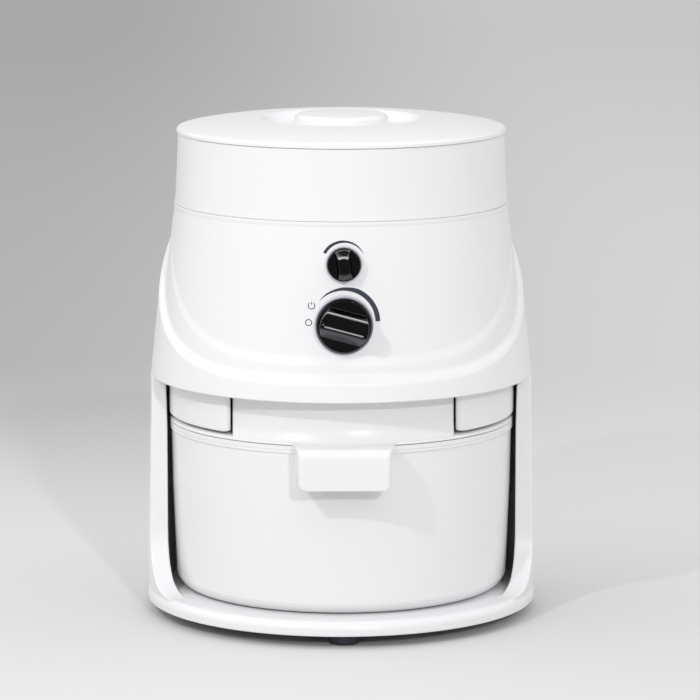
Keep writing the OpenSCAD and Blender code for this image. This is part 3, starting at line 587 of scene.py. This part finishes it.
def build_lid():
    t = 372.5
    rise = 10.5

    def dome(r):
        return t + 3.9 + (rise - 3.9) * (1 - ((r - 61.5) / (126.3 - 61.5)) ** 2)

    prof = [(0, t + 12.2), (0, t + 15.1), (9, t + 15.05), (18, t + 14.75), (26, t + 14.3), (33.4, t + 13.6, 1.6), (36.0, t + 11.2, 2.2), (36.9, t + 4.6, 2.5), (40.2, t + 1.9, 4.0),
            (49.5, t + 2.3, 9.0), (57.2, t + 5.3, 5.0), (60.6, t + 9.9, 1.8), (63.2, t + 10.75, 2.2)]
    prof += [(r, dome(r)) for r in (68, 74, 80, 86, 92, 98, 104, 110, 116, 120, 123)]
    prof += [(125.4, t + 3.75, 1.2), (126.4, t + 2.6, 0.9), (126.4, t + 0.35, 0.35), (123.6, t + 0.35), (123.6, t + 0.15), (121.9, t + 0.1), (121.9, t - 6.5, 0.5), (119.4, t - 6.5, 0.5), (119.4, t + 2.2)]
    prof += [(r, dome(r) - 2.6) for r in (115, 107, 99, 91, 83, 75, 67)]
    prof += [(60.5, t + 6.5, 2), (56.5, t + 2.6, 4), (50.5, t - 0.4, 4), (37.6, t - 0.6, 2), (34, t + 3.6, 2), (32.8, t + 10.4, 2), (29.6, t + 11.6, 2)]
    ob = lathe("hopper_lid_shell", split_long(fillet(prof, 7, closed=False), 5.0, closed=False), n=320)
    finish(ob, "hopper_lid", "hopper_lid")


build_ring()
build_lid()


# ---------------------------------------------------------------- rails
def segment_loop(z, d, rf, side, r=133.6, x0=84.9):
    r, xc = r - d, x0 + d
    cx = xc + rf
    cy = math.sqrt((r - rf) ** 2 - cx ** 2)
    a0 = math.atan2(cy, cx)
    pts = []
    for j in range(9):
        a = -PI + (PI - a0) * j / 8
        pts.append((cx + rf * math.cos(a), -cy + rf * math.sin(a)))
    for j in range(1, 60):
        a = -a0 + 2 * a0 * j / 60
        pts.append((r * math.cos(a), r * math.sin(a)))
    for j in range(9):
        a = a0 + (PI - a0) * j / 8
        pts.append((cx + rf * math.cos(a), cy + rf * math.sin(a)))
    for j in range(1, 12):
        pts.append((xc, cy - 2 * cy * j / 12))
    return [(side * x, y, z) for x, y in pts]


def build_rail(side, name):
    rings = []
    for a in (90, 65, 40, 20, 0):
        q = math.radians(a)
        rings.append(segment_loop(157.5 - 2 * math.sin(q), 2 * (1 - math.cos(q)), 3.5, side))
    rings.append(segment_loop(185.1, 0, 3.5, side))
    rings.append(segment_loop(185.45, 0.35, 3.3, side))
    rings.append(segment_loop(185.45, 2.7, 1.5, side))
    rings.append(segment_loop(160.0, 3.0, 1.2, side))
    rings.append(segment_loop(158.5, 3.8, 1.0, side))
    ob = loft(name + "_shell", rings)
    for y in (-60, 70):
        boss = lathe("boss", [(1.6, 157.0), (4.5, 157.0), (4.5, 184.6), (4.1, 185.0), (1.6, 185.0)], n=48, at=(side * 104, y))
        cut(ob, boss, "UNION")
    finish(ob, "mill_body", name)


build_rail(-1, "left_rail")
build_rail(1, "right_rail")


# ---------------------------------------------------------------- flour bowl
def hood_loop(z, w, yf, rb, rf=4.5, rc=3.0, low=0.0, ri=130.4):
    half = []
    cx = w + rf
    cy = -math.sqrt((rb + rf) ** 2 - cx ** 2)
    a0 = math.atan2(-cy, -cx)
    for j in range(9):
        a = a0 + (PI - a0) * j / 8
        half.append((cx + rf * math.cos(a), cy + rf * math.sin(a)))
    for j in (1, 2):
        half.append((w, cy + (-yf + rc - cy) * j / 3))
    for j in range(9):
        a = -PI / 2 * j / 8
        half.append((w - rc + rc * math.cos(a), -yf + rc + rc * math.sin(a)))
    for j in range(1, 12):
        half.append(((w - rc) * (1 - j / 12), -yf))
    pts = half + [(0.0, -yf)] + [(-x, y) for x, y in reversed(half)]
    a1 = math.atan2(pts[-1][1], pts[-1][0])
    a2 = math.atan2(pts[0][1], pts[0][0])
    for j in range(25):
        a = a1 + (a2 - a1) * j / 24
        pts.append((ri * math.cos(a), ri * math.sin(a)))
    out = []
    for x, y in pts:
        out.append((x, y, z + low * 3.2 * smooth((abs(x) - 28.5) / 6.5)))
    return out


def build_bowl():
    base = [(0, 20.3), (116, 20.3)]
    base += [(116 + 12.5 * math.cos(math.radians(a)), 32.8 + 12.5 * math.sin(math.radians(a))) for a in range(-84, -7, 7)]
    base += [(129.4, 62), (130.2, 82), (131.0, 102.3), (131.4, 124), (131.8, 143.6)]
    base += [(132.5, 144.1), (132.9, 144.6), (132.9, 145.8), (132.4, 146.2), (132.4, 146.6), (132.9, 147.0), (132.9, 149.6), (132.5, 150.0)]
    base += [(130.7, 150.0), (130.3, 149.6), (129.2, 143), (128.4, 102.3), (127.0, 62), (125.8, 36)]
    base += [(115.8 + 10 * math.cos(math.radians(a)), 33.0 + 10 * math.sin(math.radians(a))) for a in range(-8, -91, -8)]
    base += [(0, 22.9)]
    bowl = lathe("flour_bowl_shell", split_long(base, 10.0, closed=False), n=288)
    rings = []
    rb = 131.55
    for a in (90, 60, 30, 0):
        q = math.radians(a)
        i = 1.0 * (1 - math.cos(q))
        rings.append(hood_loop(122.0 - math.sin(q), 34.3 - i, 156.9 - i, rb, low=1.0))
    for z, lo in ((126, 0.75), (132, 0.4), (138, 0.1)):
        rings.append(hood_loop(z, 34.35 + (z - 126) * 0.015, 156.9, rb, low=lo))
    for a in (0, 15, 30, 45, 60, 75, 90):
        q = math.radians(a)
        i = 5.0 * (1 - math.cos(q))
        z = 144.8 + 7.4 * math.sin(q)
        over = z > 149.8
        rings.append(hood_loop(z, 34.6 + 0.35 * i, 156.9 - i, 133.45 if over else 131.9, rc=3.0 + 0.4 * i, ri=133.2 if over else 130.4))
    hood = loft("hood", rings)
    cut(bowl, hood, "UNION")
    rect = fillet([(-30.5, -152.8, 3), (30.5, -152.8, 3), (30.5, -133.9, 2), (-30.5, -133.9, 2)], 6)
    cav = []
    for z, i in ((110, 0), (142.5, 0), (144.3, 0.7), (145.2, 1.6), (145.5, 2.8)):
        k = [1 - i / 30.5, 1 - i / 9.5]
        cav.append([(x * k[0], -143.3 + (y + 143.3) * k[1], z) for x, y in rect])
    cut(bowl, loft("cavity", cav))
    finish(bowl, "bowl", "flour_bowl")


build_bowl()


# ---------------------------------------------------------------- bowl lid
def block_loop(z, r, xs, yb, rf=3.0):
    pts = []
    cx, cy = xs - rf, -math.sqrt((r - rf) ** 2 - (xs - rf) ** 2)
    a0 = math.atan2(cy, cx)
    half = []
    for j in range(21):
        a = -PI / 2 + (a0 + PI / 2) * j / 20
        half.append((r * math.cos(a), r * math.sin(a)))
    for j in range(1, 9):
        a = a0 + (0 - a0) * j / 8
        half.append((cx + rf * math.cos(a), cy + rf * math.sin(a)))
    cyb = -cy
    for j in range(1, 16):
        half.append((xs, cy + (cyb - cy) * j / 16))
    for j in range(9):
        a = (-a0) * j / 8
        half.append((cx + rf * math.cos(a), cyb + rf * math.sin(a)))
    yb = min(yb, r - 2.0)
    xb = math.sqrt(r * r - yb * yb)
    a1 = math.atan2(yb, xb)
    for j in range(1, 9):
        a = -a0 + (a1 + a0) * j / 8
        half.append((r * math.cos(a), r * math.sin(a)))
    for j in range(1, 6):
        half.append((xb * (1 - j / 6), yb))
    pts = half + [(0.0, yb)] + [(-x, y) for x, y in reversed(half[1:])]
    return [(x, y, z) for x, y in pts]


def build_bowl_lid():
    prof = [(0, 150.5), (119.6, 150.5), (120.0, 150.2), (120.0, 141.4), (120.4, 141.0), (127.5, 141.0), (127.9, 141.4), (127.9, 150.5), (132.6, 150.5), (133.0, 150.8), (133.0, 151.6), (132.5, 152.5), (131.5, 153.1), (129, 153.4), (120, 153.6), (0, 153.6)]
    lid = lathe("bowl_lid_shell", split_long(prof, 12.0, closed=False), n=288)
    rings = []
    rf = curve([(151, 132.4), (153, 131.6), (155, 130.5), (158, 129.0), (163, 127.6), (170, 126.9), (183, 126.4)])
    for z in (151.2, 152.6, 154, 155.5, 157, 159, 161, 163, 166, 170, 176, 181.6):
        rings.append(block_loop(z, rf(z), 83.3, 118.0))
    for a in (25, 50, 70, 90):
        q = math.radians(a)
        i = 1.4 * (1 - math.cos(q))
        rings.append(block_loop(181.6 + 1.4 * math.sin(q), rf(181.6) - i, 83.3 - i, 118.0 - i))
    cut(lid, loft("block", rings), "UNION")
    cut(lid, loft("hollow", [block_loop(z, 123.4, 80.3, 115.0, 2.0) for z in (130.0, 180.0)]))
    seat = lathe("seat", [(28, 168), (36, 168), (36, 180.6), (32.9, 180.6), (32.9, 170.5), (28, 170.5)], n=96)
    cut(lid, seat, "UNION")
    tube = lathe("tube", [(13, 166), (16, 166), (16, 180.6), (13, 180.6)], n=64, at=(0, 88))
    cut(lid, tube, "UNION")
    cut(lid, lathe("hole", [(0, 160), (13, 160), (13, 190), (0, 190)], n=64, at=(0, 88)))
    cut(lid, lathe("hole", [(0, 170.5), (32.9, 170.5), (32.9, 190), (0, 190)], n=96))
    finish(lid, "bowl", "bowl_lid")


build_bowl_lid()


# ---------------------------------------------------------------- feet, gland, grille
def build_feet():
    prof = fillet([(0, 0), (3.4, 0, 0.3), (3.6, 1.4, 0.4), (7.4, 1.4, 0.4), (7.8, 0, 0.3), (11.3, 0, 0.8), (12.2, 1.4, 1.5), (12.5, 8, 0.5), (12.5, 9), (0, 9)], 5, closed=False)
    for i, (x, y) in enumerate(((0, -127.5), (127.5, 0), (0, 127.5), (-127.5, 0))):
        ob = lathe(f"rubber_foot_{i}", prof, n=64, at=(x, y))
        finish(ob, "mill_body", "rubber_feet")


def build_gland():
    prof = fillet([(3.6, 130), (7.4, 130, 0.4), (7.4, 143.2), (11.5, 143.2), (11.5, 148.6, 0.9), (9.4, 150.2, 1.2), (8.4, 151, 0.8), (7.6, 156.0, 0.9), (6.6, 157.0, 0.5), (3.6, 157.0, 0.5)], 5)
    ob = lathe("cord_gland_body", prof, n=72, axis="y", at=(0, 205))
    finish(ob, "mill_body", "cord_gland")


def build_grille():
    nx, nz = 48, 26
    front, back = [], []
    for j in range(nz + 1):
        z = 222.4 + 39.2 * j / nz
        for i in range(nx + 1):
            x = -39.6 + 79.2 * i / nx
            r = outer_r(z)
            front.append((x, math.sqrt((r - 0.4) ** 2 - x * x), z))
            back.append((x, math.sqrt((r - 3.4) ** 2 - x * x), z))
    verts = front + back
    m = (nx + 1) * (nz + 1)
    faces = []

    def at(i, j, side=0):
        return side * m + j * (nx + 1) + i

    for j in range(nz):
        for i in range(nx):
            faces.append((at(i, j), at(i + 1, j), at(i + 1, j + 1), at(i, j + 1)))
            faces.append((at(i, j, 1), at(i, j + 1, 1), at(i + 1, j + 1, 1), at(i + 1, j, 1)))
    for i in range(nx):
        faces.append((at(i, 0), at(i, 0, 1), at(i + 1, 0, 1), at(i + 1, 0)))
        faces.append((at(i, nz), at(i + 1, nz), at(i + 1, nz, 1), at(i, nz, 1)))
    for j in range(nz):
        faces.append((at(0, j), at(0, j + 1), at(0, j + 1, 1), at(0, j, 1)))
        faces.append((at(nx, j), at(nx, j, 1), at(nx, j + 1, 1), at(nx, j + 1)))
    ob = make("rear_grille_panel", verts, faces)
    for k in range(7):
        for x in (-35.5, -11.0, 13.5):
            z = 226.0 + 5 * k
            slot = fillet([(x, z, 1.29), (x + 22, z, 1.29), (x + 22, z + 2.6, 1.29), (x, z + 2.6, 1.29)], 6)
            cut(ob, loft("slot", [[(u, y, v) for u, v in slot] for y in (115, 155)]))
    bev = ob.modifiers.new("edge", "BEVEL")
    bev.width = 0.0003
    bev.segments = 2
    bev.limit_method = "ANGLE"
    bev.angle_limit = math.radians(50)
    finish(ob, "mill_body", "rear_grille")


build_feet()
build_gland()
build_grille()


# ---------------------------------------------------------------- controls
def bar_loop(top, low, rc, rho, k1=18, k2=6, k3=18):
    """Outline of a bar reaching up to top and down to low inside a circle of radius rc, clockwise from the top."""
    def quarter(h):
        r = min(rho, h * 0.9)
        cx = math.sqrt(max(0.01, (rc - r) ** 2 - (h - r) ** 2))
        cz = h - r
        end = math.atan2(cz, cx)
        q = [(cx * j / k1, h) for j in range(k1)]
        for j in range(k2):
            a = PI / 2 + (end - PI / 2) * j / k2
            q.append((cx + r * math.cos(a), cz + r * math.sin(a)))
        for j in range(k3):
            a = end * (1 - j / k3)
            q.append((rc * math.cos(a), rc * math.sin(a)))
        return q

    up, down = quarter(top), quarter(low)
    pts = list(up) + [(rc, 0.0)] + [(x, -z) for x, z in reversed(down[1:])] + [(0.0, -low)]
    return pts + [(-x, z) for x, z in reversed(pts[1:-1])]


def turned(pts, y, cz, deg):
    a = math.radians(deg)
    return [(x * math.cos(a) + z * math.sin(a), y, cz - x * math.sin(a) + z * math.cos(a)) for x, z in pts]


def build_knob(name, levels, cz, deg, body, nodes, dimple=None, bore=3.0):
    first = next(lv for lv in levels if lv[1] is not None)
    ref = bar_loop(*first[1:])
    angles = [math.atan2(z, x) for x, z in ref]
    rings = []
    for y, top, low, rc, rho in levels:
        if top is None:
            pts = [(rc * math.cos(a), rc * math.sin(a)) for a in angles]
        else:
            pts = bar_loop(top, low, rc, rho)
        rings.append(turned(pts, y, cz, deg))
    ob = loft(name, rings)
    if dimple:
        dx, dz, y, r = dimple
        a = math.radians(deg)
        px = dx * math.cos(a) + dz * math.sin(a)
        pz = cz - dx * math.sin(a) + dz * math.cos(a)
        prof = [(0, y - r)] + [(r * math.cos(math.radians(q)), y + r * math.sin(math.radians(q))) for q in range(-80, 81, 10)] + [(0, y + r)]
        cut(ob, lathe("dimple", prof, n=32, axis="y", at=(px, pz)))
    cut(ob, lathe("bore", [(0, -130), (bore, -130), (bore, -141.5), (0, -141.5)], n=48, axis="y", at=(0, cz)))
    return finish(ob, body, *nodes, angle=32)


N = None
feed_levels = [
    (-138.3, N, N, 19.2, 0), (-138.5, N, N, 19.6, 0), (-138.9, N, N, 19.7, 0), (-144.6, N, N, 19.7, 0), (-145.0, N, N, 19.62, 0), (-145.35, N, N, 19.4, 0), (-145.5, N, N, 19.0, 0),
    (-145.5, 12.3, 11.9, 18.75, 2.0), (-145.6, 11.9, 11.4, 18.7, 2.0), (-145.95, 11.6, 10.95, 18.65, 2.0), (-146.5, 11.4, 10.55, 18.6, 2.0), (-150.5, 10.7, 7.9, 18.4, 2.0),
    (-153.4, 10.05, 5.85, 18.3, 2.0), (-154.3, 9.7, 5.2, 18.2, 2.0), (-155.0, 9.1, 4.65, 18.05, 2.0), (-155.45, 8.4, 4.15, 17.8, 1.9), (-155.75, 7.4, 3.6, 17.4, 1.8),
    (-155.8, 6.4, 3.1, 16.9, 1.6), (-155.65, 5.4, 2.6, 16.3, 1.5), (-155.35, 4.4, 2.1, 15.7, 1.3), (-155.1, 3.4, 1.6, 15.0, 1.0), (-155.0, 2.4, 1.1, 14.2, 0.8),
]
build_knob("feed_knob_grip", feed_levels, FEED_Z, 15, "feed_knob", ["feed_knob"], dimple=(-16.1, -0.4, -156.1, 1.25))

speed_levels = [
    (-133.9, N, N, 12.0, 0), (-134.1, N, N, 12.25, 0), (-134.4, N, N, 12.32, 0), (-137.7, N, N, 12.32, 0), (-138.1, N, N, 12.2, 0), (-138.4, N, N, 12.0, 0), (-138.5, N, N, 11.7, 0),
]
for y, h, rc, rho in (
    (-138.5, 6.0, 11.5, 1.6), (-138.6, 5.75, 11.3, 1.6), (-138.9, 5.5, 11.1, 1.6), (-139.4, 5.35, 10.9, 1.6), (-142.5, 4.75, 9.0, 1.8), (-144.4, 4.3, 7.7, 1.8), (-145.1, 4.0, 7.0, 1.7), (-145.6, 3.65, 6.3, 1.6),
    (-145.9, 3.2, 5.5, 1.4), (-146.0, 2.7, 4.7, 1.2), (-145.95, 2.0, 3.8, 0.9), (-145.85, 1.1, 2.8, 0.5),
):
    speed_levels.append((y, h, h, rc, rho))
build_knob("speed_knob_grip", speed_levels, SPEED_Z, 83, "speed_knob", ["speed_knob"], bore=2.5)


def build_bezel():
    prof = fillet([(3.6, -128), (17.8, -128), (17.8, -131), (22.0, -131), (21.8, -140.4), (21.5, -141.6, 0.55), (20.25, -141.6, 0.3), (20.0, -138.0, 0.3), (3.6, -138.0)], 5)
    ob = lathe("feed_bezel_ring", prof, n=160, axis="y", at=(0, FEED_Z))
    finish(ob, "mill_body", "feed_bezel")


def build_collar():
    n = 160
    tip, rr = 15.0, 13.75

    def outline(r, t):
        lim = math.acos(min(1.0, r / t))
        pts = []
        for i in range(n):
            a = 2 * PI * (i + 0.5) / n
            d = (a + PI / 2 + PI) % (2 * PI) - PI
            if abs(d) < lim:
                q = r / math.cos(lim - abs(d))
                q = q if abs(d) > 0.05 else r / math.cos(lim - 0.05)
            else:
                q = r
            pts.append((q * math.cos(a), q * math.sin(a)))
        return pts

    levels = [(-127.0, rr, tip), (-134.0, rr, tip), (-134.35, rr - 0.15, tip - 0.15), (-134.55, rr - 0.4, tip - 0.4)]
    rings = [[(x, y, SPEED_Z + z) for x, z in outline(r, t)] for y, r, t in levels]
    for y, r in ((-134.55, 12.8), (-134.3, 12.66), (-133.6, 12.64), (-133.6, 4.2), (-127.0, 4.2)):
        rings.append([(r * math.cos(2 * PI * (i + 0.5) / n), y, SPEED_Z + r * math.sin(2 * PI * (i + 0.5) / n)) for i in range(n)])
    ob = loft("speed_collar_ring", rings, wrap=True)
    finish(ob, "mill_body", "speed_collar")


build_bezel()
build_collar()


# ---------------------------------------------------------------- printed marks
def on_panel(x, z, lift):
    r = core_r(z) + lift
    return (x, -math.sqrt(r * r - x * x), z)


def mark(verts, faces, grid):
    """grid: rows of (x, z); adds a closed shell that follows the panel."""
    rows, cols = len(grid), len(grid[0])
    k = len(verts)
    for lift in (0.09, -0.12):
        for row in grid:
            for x, z in row:
                verts.append(on_panel(x, z, lift))
    m = rows * cols

    def at(i, j, s=0):
        return k + s * m + i * cols + j

    for i in range(rows - 1):
        for j in range(cols - 1):
            faces.append((at(i, j), at(i, j + 1), at(i + 1, j + 1), at(i + 1, j)))
            faces.append((at(i, j, 1), at(i + 1, j, 1), at(i + 1, j + 1, 1), at(i, j + 1, 1)))
    for j in range(cols - 1):
        faces.append((at(0, j), at(0, j, 1), at(0, j + 1, 1), at(0, j + 1)))
        faces.append((at(rows - 1, j), at(rows - 1, j + 1), at(rows - 1, j + 1, 1), at(rows - 1, j, 1)))
    for i in range(rows - 1):
        faces.append((at(i, 0), at(i + 1, 0), at(i + 1, 0, 1), at(i, 0, 1)))
        faces.append((at(i, cols - 1), at(i, cols - 1, 1), at(i + 1, cols - 1, 1), at(i + 1, cols - 1)))


def arc_grid(cx, cz, r, table, a0, a1, n=90, rows=4):
    width = curve(table)
    grid = []
    for i in range(n + 1):
        d = a0 + (a1 - a0) * i / n
        a = math.radians(d)
        w = max(0.03, width(d))
        grid.append([(cx + (r + w * j / rows) * math.cos(a), cz + (r + w * j / rows) * math.sin(a)) for j in range(rows + 1)])
    return grid


def build_marks():
    verts, faces = [], []
    feed = [(2, 3.56), (66, 3.56), (72, 3.2), (78, 2.9), (102, 1.85), (108, 1.55), (120, 1.2), (126, 0.8), (132, 0.5), (138, 0.03)]
    speed = [(27, 0.03), (32, 0.37), (38, 0.55), (50, 0.94), (68, 1.27), (86, 1.55), (98, 1.84), (116, 2.05), (134, 2.26), (152, 2.26)]
    mark(verts, faces, arc_grid(-0.5, 244.25, 23.9, feed, 138, 2, 120))
    mark(verts, faces, arc_grid(0.4, 287.8, 15.64, speed, 152, 27, 90))
    ring = [(-400, 0.6), (400, 0.6)]
    mark(verts, faces, arc_grid(-24.1, 256.8, 2.15, ring, 126, 126 + 288, 48, 2))
    mark(verts, faces, [[(-24.1 - 0.3 + 0.3 * j, 257.6 + 0.55 * i) for j in range(3)] for i in range(5)])
    mark(verts, faces, arc_grid(-26.3, 244.3, 1.95, ring, 0, 359.99, 60, 2))
    ob = make("panel_marks", verts, faces)
    finish(ob, "mill_body", mat=INK)


build_marks()


# ---------------------------------------------------------------- stage
def build_floor():
    s = 45.0
    k = 30
    verts = []
    faces = []
    for j in range(k + 1):
        for i in range(k + 1):
            verts.append(((-s + 2 * s * i / k) / MM, (-s + 2 * s * j / k) / MM, 0.0))
    for j in range(k):
        for i in range(k):
            a = j * (k + 1) + i
            faces.append((a, a + 1, a + k + 2, a + k + 1))
    ob = make("floor", verts, faces)
    m = bpy.data.materials.new("floor")
    m.use_nodes = True
    t = m.node_tree
    t.nodes.clear()
    out = t.nodes.new("ShaderNodeOutputMaterial")
    b = t.nodes.new("ShaderNodeBsdfPrincipled")
    t.links.new(b.outputs["BSDF"], out.inputs["Surface"])
    b.inputs["Specular IOR Level"].default_value = 0.15
    b.inputs["Roughness"].default_value = 0.75
    co = t.nodes.new("ShaderNodeTexCoord")
    sep = t.nodes.new("ShaderNodeSeparateXYZ")
    t.links.new(co.outputs["Object"], sep.inputs["Vector"])

    def ramp(stops):
        r = t.nodes.new("ShaderNodeMapRange")
        r.inputs["From Min"].default_value = -1.0
        r.inputs["From Max"].default_value = 6.0
        t.links.new(sep.outputs["Y"], r.inputs["Value"])
        c = t.nodes.new("ShaderNodeValToRGB")
        c.color_ramp.interpolation = "EASE"
        el = c.color_ramp.elements
        while len(el) > 1:
            el.remove(el[-1])
        for i, (y, col) in enumerate(stops):
            p = (y + 1.0) / 7.0
            e = el[0] if i == 0 else el.new(p)
            e.position = p
            e.color = (*col, 1.0)
        t.links.new(r.outputs["Result"], c.inputs["Fac"])
        return c.outputs["Color"]

    # The two ramps paint the floor darker with distance and towards the left, as painted shade in place of light
    # falloff.
    left = ramp(FLOOR_LEFT)
    right = ramp(FLOOR_RIGHT)
    side = t.nodes.new("ShaderNodeMapRange")
    side.interpolation_type = "SMOOTHSTEP"
    side.inputs["From Min"].default_value = -0.45
    side.inputs["From Max"].default_value = 0.5
    t.links.new(sep.outputs["X"], side.inputs["Value"])
    mix = t.nodes.new("ShaderNodeMix")
    mix.data_type = "RGBA"
    t.links.new(side.outputs["Result"], mix.inputs["Factor"])
    t.links.new(left, mix.inputs["A"])
    t.links.new(right, mix.inputs["B"])
    t.links.new(mix.outputs["Result"], b.inputs["Base Color"])
    noise = t.nodes.new("ShaderNodeTexNoise")
    noise.inputs["Scale"].default_value = 260.0
    noise.inputs["Detail"].default_value = 3.0
    t.links.new(co.outputs["Object"], noise.inputs["Vector"])
    bump = t.nodes.new("ShaderNodeBump")
    bump.inputs["Strength"].default_value = 0.03
    bump.inputs["Distance"].default_value = 0.0002
    t.links.new(noise.outputs["Fac"], bump.inputs["Height"])
    t.links.new(bump.outputs["Normal"], b.inputs["Normal"])
    ob.data.materials.append(m)


# Painted shade: the floor colour darkens towards the back and towards the left, standing in for the light falling
# off.
FLOOR_LEFT = [(-0.6, (0.70, 0.70, 0.70)), (0.2, (0.68, 0.68, 0.68)), (1.2, (0.42, 0.42, 0.42)), (5.5, (0.36, 0.36, 0.36))]
FLOOR_RIGHT = [(-0.6, (0.70, 0.70, 0.70)), (0.2, (0.70, 0.70, 0.70)), (1.2, (0.62, 0.62, 0.62)), (5.5, (0.54, 0.54, 0.54))]
build_floor()


SIDE_LEFT, SIDE_RIGHT, FRONT, BACK = 0.98, 0.56, -0.14, -0.3


def build_world():
    w = bpy.data.worlds.new("studio")
    bpy.context.scene.world = w
    w.use_nodes = True
    t = w.node_tree
    t.nodes.clear()
    out = t.nodes.new("ShaderNodeOutputWorld")
    bg = t.nodes.new("ShaderNodeBackground")
    t.links.new(bg.outputs["Background"], out.inputs["Surface"])
    bg.inputs["Strength"].default_value = 1.0
    co = t.nodes.new("ShaderNodeTexCoord")
    sep = t.nodes.new("ShaderNodeSeparateXYZ")
    t.links.new(co.outputs["Generated"], sep.inputs["Vector"])
    r = t.nodes.new("ShaderNodeMapRange")
    r.inputs["From Min"].default_value = -0.1
    r.inputs["From Max"].default_value = 1.0
    t.links.new(sep.outputs["Z"], r.inputs["Value"])
    c = t.nodes.new("ShaderNodeValToRGB")
    el = c.color_ramp.elements
    el[0].position = 0.0
    el[0].color = (0.50, 0.49, 0.48, 1)
    el[1].position = 1.0
    el[1].color = (0.98, 0.99, 1.0, 1)
    for p, col in ((0.26, (0.50, 0.49, 0.48)), (0.42, (0.66, 0.66, 0.66)), (0.65, (0.86, 0.86, 0.87))):
        e = el.new(p)
        e.color = (*col, 1)
    t.links.new(r.outputs["Result"], c.inputs["Fac"])

    def lobe(axis, sign, gain):
        f = t.nodes.new("ShaderNodeMapRange")
        f.interpolation_type = "SMOOTHSTEP"
        f.inputs["From Min"].default_value = 0.15 * sign
        f.inputs["From Max"].default_value = 1.0 * sign
        f.inputs["To Min"].default_value = 0.0
        f.inputs["To Max"].default_value = gain
        t.links.new(sep.outputs[axis], f.inputs["Value"])
        return f.outputs["Result"]

    def calc(kind, a, b):
        f = t.nodes.new("ShaderNodeMath")
        f.operation = kind
        for i, v in enumerate((a, b)):
            if isinstance(v, float):
                f.inputs[i].default_value = v
            else:
                t.links.new(v, f.inputs[i])
        return f.outputs["Value"]

    high = t.nodes.new("ShaderNodeMapRange")
    high.interpolation_type = "SMOOTHSTEP"
    high.inputs["From Min"].default_value = 0.17
    high.inputs["From Max"].default_value = 0.35
    t.links.new(sep.outputs["Z"], high.inputs["Value"])
    gain = calc("ADD", lobe("X", -1.0, SIDE_LEFT), lobe("X", 1.0, SIDE_RIGHT))
    gain = calc("ADD", gain, lobe("Y", -1.0, FRONT))
    gain = calc("ADD", gain, lobe("Y", 1.0, BACK))
    gain = calc("ADD", calc("MULTIPLY", gain, high.outputs["Result"]), 1.0)
    t.links.new(gain, bg.inputs["Strength"])
    t.links.new(c.outputs["Color"], bg.inputs["Color"])


def sun(name, az, el, strength, angle, colour=(1, 1, 1)):
    """az: degrees to the right of the front, el: degrees above the floor."""
    lamp = bpy.data.lights.new(name, "SUN")
    lamp.energy = strength
    lamp.angle = math.radians(angle)
    lamp.color = colour
    ob = bpy.data.objects.new(name, lamp)
    bpy.context.scene.collection.objects.link(ob)
    a, e = math.radians(az), math.radians(el)
    d = Vector((math.sin(a) * math.cos(e), -math.cos(a) * math.cos(e), math.sin(e)))
    ob.location = d * 2.5
    ob.rotation_euler = d.to_track_quat("Z", "Y").to_euler()


def disc(name, az, el, far, strength, angle, aim, colour=(1, 1, 1)):
    """A small round lamp far metres from aim; strength is what a sun of the same name would have there."""
    lamp = bpy.data.lights.new(name, "AREA")
    lamp.shape = "DISK"
    lamp.size = 2 * far * math.tan(math.radians(angle / 2))
    lamp.energy = strength * PI * far * far
    lamp.color = colour
    ob = bpy.data.objects.new(name, lamp)
    bpy.context.scene.collection.objects.link(ob)
    a, e = math.radians(az), math.radians(el)
    d = Vector((math.sin(a) * math.cos(e), -math.cos(a) * math.cos(e), math.sin(e)))
    ob.location = Vector(aim) + d * far
    ob.rotation_euler = d.to_track_quat("Z", "Y").to_euler()


build_world()
disc("key_light", -36.9, 37.5, 1.6, 0.65, 1.8, (0.0, -0.15, 0.15), (1.0, 0.995, 0.985))
sun("fill_light", 13.1, 23.0, 0.70, 2.6, (1.0, 1.0, 1.0))

cam = bpy.data.cameras.new("camera")
cam.lens = 216.9
cam.sensor_width = 36.0
cam.clip_end = 200.0
cam_ob = bpy.data.objects.new("camera", cam)
bpy.context.scene.collection.objects.link(cam_ob)
cam_ob.location = (-0.0506, -3.2243, 0.7249)
cam_ob.rotation_euler = (math.radians(90 - 9.21), 0.0, math.radians(-1.02))
bpy.context.scene.camera = cam_ob
bpy.context.scene.view_settings.view_transform = "Standard"
bpy.context.scene.view_settings.look = "None"
